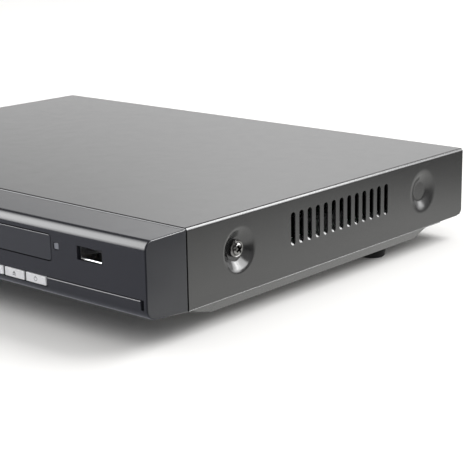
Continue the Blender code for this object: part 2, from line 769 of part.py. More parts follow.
def make_top_cover():
    def shell(bm):
        corner_x = CASE_HALF - COVER_BEND
        corner_z = CASE_HEIGHT - COVER_BEND
        chain = [(CASE_HALF, COVER_EDGE_Z)]
        chain += arc((corner_x, corner_z), COVER_BEND, 0.0, QUARTER, BEND_STEPS)
        chain += arc((-corner_x, corner_z), COVER_BEND, QUARTER, 2.0 * QUARTER, BEND_STEPS)
        chain.append((-CASE_HALF, COVER_EDGE_Z))
        prism(bm, "Y", sheet_outline(chain, SHEET), 0.0, COVER_DEPTH)

    def rear_flange(bm):
        half = WALL_INSIDE - REAR_FLANGE_INSET
        top = CASE_HEIGHT - SHEET / 2.0
        outline = rectangle(-half, half, CASE_HEIGHT - REAR_FLANGE_HEIGHT, top)
        prism(bm, "Y", outline, COVER_DEPTH - SHEET, COVER_DEPTH - HAIR)

    def slots(bm):
        for side in (-1.0, 1.0):
            for k in range(SLOT_COUNT):
                middle = SLOT_FIRST_Y + k * SLOT_PITCH
                half = SLOT_WIDTH / 2.0
                outline = rounded(
                    middle - half, middle + half, SLOT_LOW_Z, SLOT_HIGH_Z, half, SLOT_STEPS
                )
                inside = side * (WALL_INSIDE - OVERRUN)
                outside = side * (CASE_HALF + OVERRUN)
                prism(bm, "X", outline, min(inside, outside), max(inside, outside))

    def edge_step(bm):
        low = COVER_EDGE_Z - OVERRUN
        outline = [
            (COVER_STEP_Y, low),
            (COVER_DEPTH + OVERRUN, low),
            (COVER_DEPTH + OVERRUN, COVER_EDGE_Z + COVER_STEP_RISE + COVER_CORNER_RISE),
            (COVER_DEPTH, COVER_EDGE_Z + COVER_STEP_RISE + COVER_CORNER_RISE),
            (COVER_DEPTH - COVER_CORNER_RUN, COVER_EDGE_Z + COVER_STEP_RISE),
            (COVER_STEP_Y, COVER_EDGE_Z + COVER_STEP_RISE),
        ]
        prism(bm, "X", outline, -CASE_HALF - OVERRUN, CASE_HALF + OVERRUN)

    def screw_holes(bm):
        for side in (-1.0, 1.0):
            floor = CASE_HALF - DIMPLE_FRONT_DEPTH
            cylinder(
                bm, "X", (DIMPLE_FRONT_Y, DIMPLE_Z), SCREW_HOLE_RADIUS,
                side * (floor - SHEET - OVERRUN), side * (floor + OVERRUN), ROUND_STEPS,
            )
        for x in rear_screw_places():
            cylinder(
                bm, "Y", (x, CASE_HEIGHT - REAR_SCREW_DROP), SCREW_HOLE_RADIUS,
                COVER_DEPTH - SHEET - OVERRUN, COVER_DEPTH + OVERRUN, ROUND_STEPS,
            )

    cover = piece("top_cover", PAINTED_STEEL, shell)
    join(cover, "rear_flange", rear_flange)
    join(cover, "dimple_backs", lambda bm: for_each_dimple(bm, SHEET, SHEET / 2.0))
    cut(cover, "dimples", lambda bm: for_each_dimple(bm, 0.0, -OVERRUN))
    cut(cover, "slots", slots)
    cut(cover, "edge_step", edge_step)
    cut(cover, "screw_holes", screw_holes)


def rear_screw_places():
    return [CASE_HALF * share for share in REAR_SCREW_X_SHARES]


def pan_section(y, depth, slope):
    """One cross-section of the pan: floor, sloping sides, joggle and inner walls."""
    outer_x = INSIDE_HALF
    right = [
        (outer_x - slope, COVER_EDGE_Z - depth),
        (outer_x, COVER_EDGE_Z),
        (outer_x, PAN_JOGGLE_LOW_Z),
        (PAN_WALL_X, PAN_JOGGLE_HIGH_Z),
        (PAN_WALL_X, PAN_WALL_TOP_Z + TAB_HEIGHT),
    ]
    chain = [(-x, z) for x, z in reversed(right)] + right
    return [in_space("Y", x, z, y) for x, z in sheet_outline(chain, SHEET)]


def board_post_places(left, right, front, rear):
    inset = BOARD_HOLE_INSET
    return [
        (left + inset, front + inset),
        (right - inset, front + inset),
        (left + inset, rear - inset),
        (right - inset, rear - inset),
    ]


def loader_post_places():
    half = FRAME_HALF_WIDTH - LOADER_POST_INSET
    front = PAN_FRONT_Y + EMBOSS_FRONT_RAMP + LOADER_POST_SETBACK
    rear = FRAME_REAR_Y - LOADER_POST_INSET
    return [(LOADER_X + side * half, y) for side in (-1.0, 1.0) for y in (front, rear)]


def make_chassis_pan():
    def shell(bm):
        corner = EMBOSS_SLOPE + EMBOSS_CORNER_WIDTH
        sections = (
            (PAN_FRONT_Y, 0.0, corner),
            (PAN_FRONT_Y + EMBOSS_FRONT_RAMP, EMBOSS_DEPTH, corner),
            (PAN_FRONT_Y + EMBOSS_CORNER_LENGTH, EMBOSS_DEPTH, EMBOSS_SLOPE),
            (EMBOSS_END_Y, EMBOSS_DEPTH, EMBOSS_SLOPE),
            (EMBOSS_END_Y + EMBOSS_RAMP, 0.0, EMBOSS_SLOPE),
            (PANEL_BACK_Y - GAP, 0.0, EMBOSS_SLOPE),
        )
        loft(bm, [pan_section(*section) for section in sections])

    def wall_relief(bm):
        low = PAN_WALL_TOP_Z
        high = low + TAB_HEIGHT + OVERRUN
        half = TAB_LENGTH / 2.0
        ends = (
            (PAN_FRONT_Y - OVERRUN, DIMPLE_FRONT_Y - half),
            (DIMPLE_FRONT_Y + half, DIMPLE_REAR_Y - half),
            (DIMPLE_REAR_Y + half, COVER_DEPTH),
        )
        for start, end in ends:
            prism(bm, "Z", rectangle(-CASE_HALF, CASE_HALF, start, end), low, high)

    def vents(bm):
        for k in range(VENT_COUNT):
            y = VENT_FIRST_Y + k * VENT_PITCH
            outline = rounded(
                VENT_MIDDLE_X - VENT_LENGTH / 2.0, VENT_MIDDLE_X + VENT_LENGTH / 2.0,
                y - VENT_WIDTH / 2.0, y + VENT_WIDTH / 2.0, VENT_WIDTH / 2.0, SLOT_STEPS,
            )
            prism(bm, "Z", outline, PAN_FLOOR_Z - OVERRUN, PAN_FLOOR_TOP_Z + OVERRUN)
        for side in (-1.0, 1.0):
            cylinder(
                bm, "X", (DIMPLE_FRONT_Y, DIMPLE_Z), SCREW_HOLE_RADIUS,
                side * PAN_WALL_X - OVERRUN, side * PAN_WALL_X + OVERRUN, ROUND_STEPS,
            )

    def posts(bm):
        root = PAN_FLOOR_Z + SHEET / 2.0
        places = board_post_places(PSU_LEFT_X, PSU_RIGHT_X, PSU_FRONT_Y, PSU_REAR_Y)
        places += main_board_posts()
        for place in places:
            cylinder(bm, "Z", place, POST_RADIUS, root, BOARD_Z - GAP, POST_STEPS)
        for place in loader_post_places():
            cylinder(bm, "Z", place, POST_RADIUS, root, FRAME_LOW_Z - GAP, POST_STEPS)

    pan = piece("chassis_pan", PAINTED_STEEL, shell)
    cut(pan, "wall_relief", wall_relief)
    cut(pan, "vents", vents)
    join(pan, "posts", posts)


def main_board_posts():
    inset = BOARD_HOLE_INSET
    return [
        (MAIN_INNER_X + inset, MAIN_FRONT_Y + inset),
        (MAIN_RIGHT_X - inset, MAIN_FRONT_Y + inset),
        (MAIN_RIGHT_X - inset, EMBOSS_END_Y - inset),
    ]


def make_feet():
    places = {
        "foot_front_left": (-FOOT_FRONT_X, FOOT_FRONT_Y),
        "foot_front_right": (FOOT_FRONT_X, FOOT_FRONT_Y),
        "foot_rear_left": (-FOOT_REAR_X, FOOT_REAR_Y),
        "foot_rear_right": (FOOT_REAR_X, FOOT_REAR_Y),
    }
    top = PAN_FLOOR_Z - GAP
    profile = [
        (0.0, 0.0),
        (FOOT_RADIUS - FOOT_TAPER - FOOT_ROUNDING, 0.0),
        (FOOT_RADIUS - FOOT_TAPER, FOOT_ROUNDING),
        (FOOT_RADIUS, top),
        (0.0, top),
    ]
    for name, place in places.items():
        piece(name, BLACK_RUBBER, lambda bm, at=place: turned(bm, "Z", at, profile, FOOT_STEPS))


def screw(bm, axis, centre, seat, outward):
    """A pan-head screw whose head sits on seat and whose shank runs inwards."""
    head = seat + outward * SCREW_HEAD_HEIGHT
    floor = head - outward * SCREW_SOCKET_DEPTH
    profile = [
        (0.0, floor),
        (SCREW_SOCKET_RADIUS, floor),
        (SCREW_SOCKET_RADIUS, head),
        (SCREW_HEAD_RADIUS * SCREW_CROWN_SHARE, head),
        (SCREW_HEAD_RADIUS, seat + outward * SCREW_HEAD_HEIGHT * SCREW_RIM_SHARE),
        (SCREW_HEAD_RADIUS, seat),
        (SCREW_SHANK_RADIUS, seat),
        (SCREW_SHANK_RADIUS, seat - outward * SCREW_LENGTH),
        (0.0, seat - outward * SCREW_LENGTH),
    ]
    turned(bm, axis, centre, profile, SCREW_STEPS)


def make_screws():
    for name, side in (("side_screw_left", -1.0), ("side_screw_right", 1.0)):
        seat = side * (CASE_HALF - DIMPLE_FRONT_DEPTH + GAP)
        piece(name, SCREW_BLACK, lambda bm, a=seat, b=side: screw(
            bm, "X", (DIMPLE_FRONT_Y, DIMPLE_Z), a, b))
    for name, x in zip(("left", "middle", "right"), rear_screw_places()):
        place = (x, CASE_HEIGHT - REAR_SCREW_DROP)
        piece("rear_screw_" + name, SCREW_BLACK, lambda bm, at=place: screw(
            bm, "Y", at, COVER_DEPTH + GAP, 1.0))


def fascia_side_profile(inset=0.0):
    """Side view of the fascia as (place along Y, height), anticlockwise."""
    front = -FASCIA_DEPTH
    top = CASE_HEIGHT - FASCIA_TOP_DROP
    bottom = COVER_EDGE_Z + FASCIA_BOTTOM_RISE
    points = [(-FASCIA_SEAM, CASE_HEIGHT)]
    upper = (front + FASCIA_TOP_RADIUS, top - FASCIA_TOP_RADIUS)
    lower = (front + FASCIA_BOTTOM_RADIUS, bottom + FASCIA_BOTTOM_RADIUS)
    points += arc(upper, FASCIA_TOP_RADIUS, QUARTER, 2.0 * QUARTER, FASCIA_ARC_STEPS)
    points += arc(lower, FASCIA_BOTTOM_RADIUS, 2.0 * QUARTER, 3.0 * QUARTER, FASCIA_ARC_STEPS)
    points.append((-FASCIA_SEAM, COVER_EDGE_Z))
    return offset_chain(points, inset, closed=True)


def bowed_ring(profile, x):
    """The side profile at one place along the front, stretched forwards by the bow."""
    stretch = bowed_front(x) / -FASCIA_DEPTH
    return [in_space("X", y * stretch if y < 0 else y, z, x) for y, z in profile]


def stations(low, high, count):
    return [low + (high - low) * k / count for k in range(count + 1)]


def bowed_bar(bm, low_x, high_x, low_z, high_z, proud, depth, count):
    """A bar that follows the bowed front, standing proud of it and reaching back from it."""
    rings = []
    for x in stations(low_x, high_x, count):
        face = bowed_front(x)
        outline = rectangle(face - proud, face + depth, low_z, high_z)
        rings.append([in_space("X", y, z, x) for y, z in outline])
    loft(bm, rings)


def make_fascia():
    def body(bm):
        full = fascia_side_profile()
        drawn_in = fascia_side_profile(FASCIA_EDGE)
        rings = [bowed_ring(drawn_in, -CASE_HALF)]
        places = stations(-CASE_HALF + FASCIA_EDGE, CASE_HALF - FASCIA_EDGE, FASCIA_STATIONS)
        rings += [bowed_ring(full, x) for x in places]
        rings.append(bowed_ring(drawn_in, CASE_HALF))
        loft(bm, rings)

    def lip(bm):
        outline = rectangle(-INSIDE_HALF, INSIDE_HALF, COVER_EDGE_Z, CASE_HEIGHT - SHEET - GAP)
        prism(bm, "Y", outline, -OVERRUN - FASCIA_SEAM, LIP_LENGTH)

    def cavity(bm):
        half = INSIDE_HALF - LIP_WALL
        top = CASE_HEIGHT - SHEET - GAP - LIP_WALL
        low = FASCIA_FLOOR_Z
        front = -FASCIA_DEPTH + FASCIA_WALL
        chamfer = FASCIA_TOP_RADIUS - FASCIA_WALL
        profile = [
            (LIP_LENGTH + OVERRUN, top),
            (front + chamfer, top),
            (front, top - chamfer),
            (front, low + chamfer),
            (front + chamfer, low),
            (LIP_LENGTH + OVERRUN, low),
        ]
        loft(bm, [bowed_ring(profile, x) for x in stations(-half, half, FASCIA_STATIONS)])

    def openings(bm):
        front = -FASCIA_DEPTH - FASCIA_BOW - OVERRUN
        back = -FASCIA_DEPTH + FASCIA_WALL + OVERRUN
        door = rounded(
            DOOR_LEFT_X - DOOR_GAP, DOOR_RIGHT_X + DOOR_GAP,
            DOOR_LOW_Z - DOOR_GAP, DOOR_HIGH_Z + DOOR_GAP, DOOR_CORNER + DOOR_GAP, CORNER_STEPS,
        )
        prism(bm, "Y", door, front, back)
        usb = rounded(
            USB_X - USB_OPENING_WIDTH / 2.0, USB_X + USB_OPENING_WIDTH / 2.0,
            USB_Z - USB_OPENING_HEIGHT / 2.0, USB_Z + USB_OPENING_HEIGHT / 2.0, GAP, 1,
        )
        prism(bm, "Y", usb, front, back)
        half = LENS_SIZE / 2.0 + GAP
        window = rectangle(LENS_X - half, LENS_X + half, LENS_Z - half, LENS_Z + half)
        prism(bm, "Y", window, front, back)

    def bar_slot(bm):
        bowed_bar(bm, -BAR_SLOT_END_X, BAR_SLOT_END_X, BAR_LOW_Z - GAP, BAR_HIGH_Z + GAP,
                  OVERRUN, FASCIA_WALL / 2.0, FASCIA_STATIONS)

    def button_windows(bm):
        for left, right in button_spans():
            margin = BUTTON_SPACING / 2.0
            outline = rectangle(left - margin + GAP, right + margin - GAP,
                                BAR_LOW_Z - GAP, BAR_HIGH_Z + GAP)
            front = -FASCIA_DEPTH - FASCIA_BOW
            prism(bm, "Y", outline, front, -FASCIA_DEPTH + FASCIA_WALL + OVERRUN)

    def posts(bm):
        for place in key_post_places():
            cylinder(
                bm, "Y", place, KEY_POST_RADIUS,
                bowed_front(place[0]) + FASCIA_WALL / 2.0, KEY_BOARD_Y - GAP, ROUND_STEPS,
            )

    fascia = piece("fascia", DARK_PLASTIC, body)
    join(fascia, "lip", lip)
    cut(fascia, "cavity", cavity)
    cut(fascia, "openings", openings)
    cut(fascia, "bar_slot", bar_slot)
    cut(fascia, "button_windows", button_windows)
    join(fascia, "posts", posts)


def key_post_places():
    span = KEY_BOARD_RIGHT_X - KEY_BOARD_LEFT_X
    z = BAR_HIGH_Z + (KEY_BOARD_HIGH_Z - BAR_HIGH_Z) / 2.0
    return [(KEY_BOARD_LEFT_X + span * share, z) for share in KEY_POST_X_SHARES]


def make_tray_door():
    def slab(bm):
        bowed_bar(bm, DOOR_LEFT_X - OVERRUN, DOOR_RIGHT_X + OVERRUN, DOOR_LOW_Z - OVERRUN,
                  DOOR_HIGH_Z + OVERRUN, 0.0, DOOR_THICKNESS, FASCIA_STATIONS)

    def outline_keep(bm):
        outline = rounded(
            DOOR_LEFT_X, DOOR_RIGHT_X, DOOR_LOW_Z, DOOR_HIGH_Z, DOOR_CORNER, CORNER_STEPS
        )
        front = -FASCIA_DEPTH - FASCIA_BOW - OVERRUN
        prism(bm, "Y", outline, front, 0.0)

    def ribs(bm):
        half_span = (DOOR_RIGHT_X - DOOR_LEFT_X) / 2.0
        for share in DOOR_RIB_SHARES:
            x = LOADER_X + half_span * share
            outline = rectangle(
                x - DOOR_RIB_WIDTH / 2.0, x + DOOR_RIB_WIDTH / 2.0, TRAY_LOW_Z + GAP, TRAY_RIM_Z
            )
            root = bowed_front(x) + DOOR_THICKNESS / 2.0
            prism(bm, "Y", outline, root, TRAY_FRONT_Y - GAP)

    door = piece("tray_door", DOOR_PLASTIC, slab)
    shape_with(door, "INTERSECT", "outline", outline_keep)
    join(door, "ribs", ribs)


def button_spans():
    """Left and right edge of each button, from the right end of the row."""
    spans = []
    for k in range(len(BUTTON_NAMES)):
        right = BUTTON_RIGHT_X - k * BUTTON_PITCH
        spans.append((right - BUTTON_WIDTH, right))
    return spans


def make_trim():
    last_left = button_spans()[-1][0]
    ends = {
        "trim_bar_right": (BUTTON_RIGHT_X + BUTTON_SPACING, BAR_END_X, FASCIA_STATIONS // 3),
        "trim_bar_left": (-BAR_END_X, last_left - BUTTON_SPACING, FASCIA_STATIONS),
    }
    depth = FASCIA_WALL / 2.0 - GAP
    for name, (low, high, count) in ends.items():
        piece(name, DARK_PLASTIC, lambda bm, a=low, b=high, n=count: bowed_bar(
            bm, a, b, BAR_LOW_Z, BAR_HIGH_Z, BAR_PROUD, depth, n))


def make_buttons():
    for name, (left, right) in zip(BUTTON_NAMES, button_spans()):
        middle = (left + right) / 2.0
        height = (BAR_LOW_Z + BAR_HIGH_Z) / 2.0
        face = bowed_front(middle) - BUTTON_PROUD

        def cap(bm, a=left, b=right, y=face):
            outline = rectangle(a, b, BAR_LOW_Z, BAR_HIGH_Z)
            inner = [tuple(p) for p in offset_chain(outline, BUTTON_EDGE, closed=True)]
            levels = ((inner, y), (outline, y + BUTTON_EDGE), (outline, y + BUTTON_DEPTH))
            loft(bm, [[in_space("Y", p, q, at) for p, q in ring] for ring, at in levels])

        def stem(bm, x=middle, z=height, y=face):
            half = BUTTON_STEM_WIDTH / 2.0
            outline = rectangle(x - half, x + half, z - half, z + half)
            prism(bm, "Y", outline, y + BUTTON_DEPTH / 2.0, STEM_END_Y)

        def plunger(bm, x=middle, z=height):
            cylinder(bm, "Y", (x, z), PLUNGER_RADIUS, STEM_END_Y - OVERRUN,
                     STEM_END_Y + PLUNGER_LENGTH, ROUND_STEPS)

        button = piece("button_" + name, WHITE_PLASTIC, cap)
        join(button, "stem", stem)
        join(button, "plunger", plunger)


def switch_front_y():
    return STEM_END_Y + BUTTON_TRAVEL + GAP


def make_key_board():
    def switches(bm):
        z = (BAR_LOW_Z + BAR_HIGH_Z) / 2.0
        half = SWITCH_WIDTH / 2.0
        for left, right in button_spans():
            x = (left + right) / 2.0
            outline = rectangle(x - half, x + half, z - half, z + half)
            prism(bm, "Y", outline, switch_front_y(), KEY_BOARD_Y + BOARD / 2.0)

    def wells(bm):
        z = (BAR_LOW_Z + BAR_HIGH_Z) / 2.0
        depth = PLUNGER_LENGTH
        for left, right in button_spans():
            cylinder(bm, "Y", ((left + right) / 2.0, z), PLUNGER_RADIUS + GAP,
                     switch_front_y() - OVERRUN, switch_front_y() + depth, ROUND_STEPS)

    def board(bm):
        outline = [
            (KEY_BOARD_LEFT_X, FASCIA_FLOOR_Z + GAP),
            (KEY_BOARD_RIGHT_X, FASCIA_FLOOR_Z + GAP),
            (KEY_BOARD_RIGHT_X, KEY_BOARD_EAR_HIGH_Z),
            (KEY_BOARD_EAR_LEFT_X, KEY_BOARD_EAR_HIGH_Z),
            (KEY_BOARD_EAR_LEFT_X, KEY_BOARD_HIGH_Z),
            (KEY_BOARD_LEFT_X, KEY_BOARD_HIGH_Z),
        ]
        prism(bm, "Y", outline, KEY_BOARD_Y, KEY_BOARD_Y + BOARD)

    def led(bm):
        back = KEY_BOARD_Y - GAP
        tip = back - LED_LENGTH
        profile = [
            (0.0, back),
            (LED_RADIUS + LED_RIM, back),
            (LED_RADIUS + LED_RIM, back - LED_RIM_LENGTH),
            (LED_RADIUS, back - LED_RIM_LENGTH),
        ]
        profile += [(LED_RADIUS * out, tip + LED_RADIUS * up) for out, up in LED_DOME_SHARES]
        profile.append((0.0, tip))
        turned(bm, "Y", (LENS_X, LENS_Z), profile, ROUND_STEPS)

    def light_pipe(bm):
        face = bowed_front(LENS_X) + LENS_RECESS
        half = LENS_SIZE / 2.0
        outline = rounded(LENS_X - half, LENS_X + half, LENS_Z - half, LENS_Z + half, GAP, 2)
        back = KEY_BOARD_Y - GAP - LED_LENGTH - LED_GAP
        prism(bm, "Y", outline, face, back)

    keys = piece("key_board", BOARD_TAN, board)
    join(keys, "switches", switches)
    cut(keys, "wells", wells)
    piece("standby_led", CLEAR_PLASTIC, led)
    piece("light_pipe", CLEAR_PLASTIC, light_pipe)


def make_usb_socket():
    front = bowed_front(USB_X) + USB_RECESS
    half_width = USB_WIDTH / 2.0
    half_height = USB_HEIGHT / 2.0

    def shell(bm):
        outline = rounded(USB_X - half_width, USB_X + half_width,
                          USB_Z - half_height, USB_Z + half_height, GAP, 2)
        prism(bm, "Y", outline, front, KEY_BOARD_Y - GAP)

    def bore(bm):
        outline = rectangle(
            USB_X - half_width + USB_WALL, USB_X + half_width - USB_WALL,
            USB_Z - half_height + USB_WALL, USB_Z + half_height - USB_WALL,
        )
        prism(bm, "Y", outline, front - OVERRUN, KEY_BOARD_Y - GAP - USB_BACK)

    def tongue(bm):
        base_back = KEY_BOARD_Y - GAP - USB_BACK - GAP
        base_front = base_back - USB_TONGUE_BASE
        low = USB_Z + USB_TONGUE_RISE - USB_TONGUE_HEIGHT / 2.0
        high = low + USB_TONGUE_HEIGHT
        half = USB_TONGUE_WIDTH / 2.0
        base_half = half_height - USB_WALL - GAP
        outline = [
            (base_back, USB_Z - base_half),
            (base_back, USB_Z + base_half),
            (base_front, USB_Z + base_half),
            (base_front, high),
            (front + USB_TONGUE_SETBACK, high),
            (front + USB_TONGUE_SETBACK, low),
            (base_front, low),
            (base_front, USB_Z - base_half),
        ]
        prism(bm, "X", outline, USB_X - half, USB_X + half)

    socket = piece("usb_shell", BRIGHT_STEEL, shell)
    cut(socket, "bore", bore)
    piece("usb_tongue", BLACK_PLASTIC, tongue)


def make_rear_panel():
    low = COVER_EDGE_Z + SHEET + GAP

    def sheet(bm):
        chain = [
            (PANEL_FACE_Y - PANEL_FOOT_LENGTH, low),
            (PANEL_FACE_Y, low),
            (PANEL_FACE_Y, CASE_HEIGHT - PANEL_TOP_CLEARANCE),
        ]
        prism(bm, "X", sheet_outline(chain, SHEET), -INSIDE_HALF, INSIDE_HALF)

    def holes(bm):
        back = PANEL_BACK_Y - OVERRUN
        front = PANEL_FACE_Y + OVERRUN
        prism(bm, "Y", inlet_outline(INLET_BODY_WALL + GAP), back, front)
        prism(bm, "Y", hdmi_outline(GAP), back, front)
        for x in jack_places():
            cylinder(bm, "Y", (x, JACK_Z), JACK_RADIUS + GAP, back, front, ROUND_STEPS)
        for x in rear_screw_places():
            cylinder(bm, "Y", (x, CASE_HEIGHT - REAR_SCREW_DROP), SCREW_HOLE_RADIUS,
                     back, front, ROUND_STEPS)

    def foot_ends(bm):
        for side in (-1.0, 1.0):
            near = side * (PAN_WALL_X - SHEET - GAP)
            far = side * CASE_HALF
            outline = rectangle(min(near, far), max(near, far),
                                PANEL_FACE_Y - PANEL_FOOT_LENGTH - OVERRUN, PANEL_BACK_Y)
            prism(bm, "Z", outline, low - OVERRUN, low + SHEET + OVERRUN)

    panel = piece("rear_panel", BLACK_PLASTIC, sheet)
    cut(panel, "foot_ends", foot_ends)
    cut(panel, "holes", holes)


def inlet_outline(grow):
    """Figure-of-eight mouth: two round ends and a slightly narrower waist."""
    reach = INLET_PIN_SPACING / 2.0
    radius = INLET_LOBE_RADIUS + grow
    waist = INLET_WAIST_HALF + grow
    half_angle = TURN * INLET_LOBE_SHARE
    points = arc((INLET_X + reach, INLET_Z), radius, -half_angle, half_angle,
                 INLET_STEPS)
    points.append((INLET_X, INLET_Z + waist))
    points += arc((INLET_X - reach, INLET_Z), radius, TURN / 2.0 - half_angle,
                  TURN / 2.0 + half_angle, INLET_STEPS)
    points.append((INLET_X, INLET_Z - waist))
    return points


def hdmi_outline(grow):
    half = HDMI_WIDTH / 2.0
    z = BOARD_Z + BOARD + GAP
    outline = [
        (HDMI_X - half + HDMI_CHAMFER, z),
        (HDMI_X + half - HDMI_CHAMFER, z),
        (HDMI_X + half, z + HDMI_CHAMFER),
        (HDMI_X + half, z + HDMI_HEIGHT),
        (HDMI_X - half, z + HDMI_HEIGHT),
        (HDMI_X - half, z + HDMI_CHAMFER),
    ]
    return offset_chain(outline, -grow, closed=True)


def jack_places():
    return [JACK_FIRST_X + k * JACK_PITCH for k in range(JACK_COUNT)]


def make_rear_sockets():
    inlet_back = PANEL_FACE_Y + INLET_RIM - INLET_LENGTH

    def inlet(bm):
        prism(bm, "Y", inlet_outline(INLET_BODY_WALL), inlet_back, PANEL_FACE_Y + INLET_RIM)

    def inlet_mouth(bm):
        outer = PANEL_FACE_Y + INLET_RIM
        prism(bm, "Y", inlet_outline(0.0), outer - INLET_MOUTH_DEPTH, outer + OVERRUN)

    def inlet_rim(bm):
        outline = inlet_outline(INLET_RIM_WALL)
        prism(bm, "Y", outline, PANEL_FACE_Y + GAP, PANEL_FACE_Y + INLET_RIM - HAIR)

    def inlet_leg(bm):
        half = INLET_SHELF_HALF
        panel_foot_top = COVER_EDGE_Z + SHEET + GAP + SHEET
        outline = rectangle(INLET_X - half, INLET_X + half, panel_foot_top + GAP, INLET_Z)
        prism(bm, "Y", outline, inlet_back, PANEL_BACK_Y - GAP)

    def pins(bm):
        outer = PANEL_FACE_Y + INLET_RIM - INLET_PIN_SETBACK
        for x in inlet_pin_places():
            cylinder(bm, "Y", (x, INLET_Z), INLET_PIN_RADIUS, inlet_back - INLET_TAG, outer,
                     ROUND_STEPS)

    def hdmi(bm):
        prism(bm, "Y", hdmi_outline(0.0), PANEL_FACE_Y + GAP - HDMI_LENGTH, PANEL_FACE_Y + GAP)

    def hdmi_mouth(bm):
        outline = hdmi_outline(-HDMI_WALL)
        back = PANEL_FACE_Y + GAP - HDMI_LENGTH + HDMI_BACK
        prism(bm, "Y", outline, back, PANEL_FACE_Y + OVERRUN)

    def hdmi_tongue(bm):
        half = HDMI_TONGUE_WIDTH / 2.0
        middle = BOARD_Z + BOARD + GAP + HDMI_HEIGHT / 2.0 + HDMI_TONGUE_HEIGHT / 2.0
        outline = rectangle(HDMI_X - half, HDMI_X + half, middle - HDMI_TONGUE_HEIGHT / 2.0,
                            middle + HDMI_TONGUE_HEIGHT / 2.0)
        prism(bm, "Y", outline, PANEL_FACE_Y - HDMI_LENGTH + HDMI_WALL,
              PANEL_FACE_Y - HDMI_TONGUE_SETBACK)

    def jacks(bm):
        places = jack_places()
        outline = rectangle(places[0] - JACK_BODY_HALF, places[-1] + JACK_BODY_HALF,
                            BOARD_Z + BOARD + GAP, JACK_Z + JACK_BODY_HALF)
        prism(bm, "Y", outline, PANEL_BACK_Y - GAP - JACK_BODY_DEPTH, PANEL_BACK_Y - GAP)

    def jack_barrels(bm):
        for x in jack_places():
            cylinder(bm, "Y", (x, JACK_Z), JACK_RADIUS, PANEL_BACK_Y - OVERRUN,
                     PANEL_FACE_Y + JACK_REACH, ROUND_STEPS)

    def jack_bores(bm):
        for x in jack_places():
            cylinder(bm, "Y", (x, JACK_Z), JACK_BORE_RADIUS, PANEL_BACK_Y - OVERRUN,
                     PANEL_FACE_Y + JACK_REACH + OVERRUN, ROUND_STEPS)

    body = piece("mains_inlet", BLACK_PLASTIC, inlet)
    join(body, "rim", inlet_rim)
    join(body, "leg", inlet_leg)
    cut(body, "mouth", inlet_mouth)
    join(body, "pins", pins)
    socket = piece("hdmi_socket", BRIGHT_STEEL, hdmi)
    cut(socket, "mouth", hdmi_mouth)
    join(socket, "tongue", hdmi_tongue)
    row = piece("av_jacks", BLACK_PLASTIC, jacks)
    join(row, "barrels", jack_barrels)
    cut(row, "bores", jack_bores)


def inlet_pin_places():
    return [INLET_X + side * INLET_PIN_SPACING / 2.0 for side in (-1.0, 1.0)]


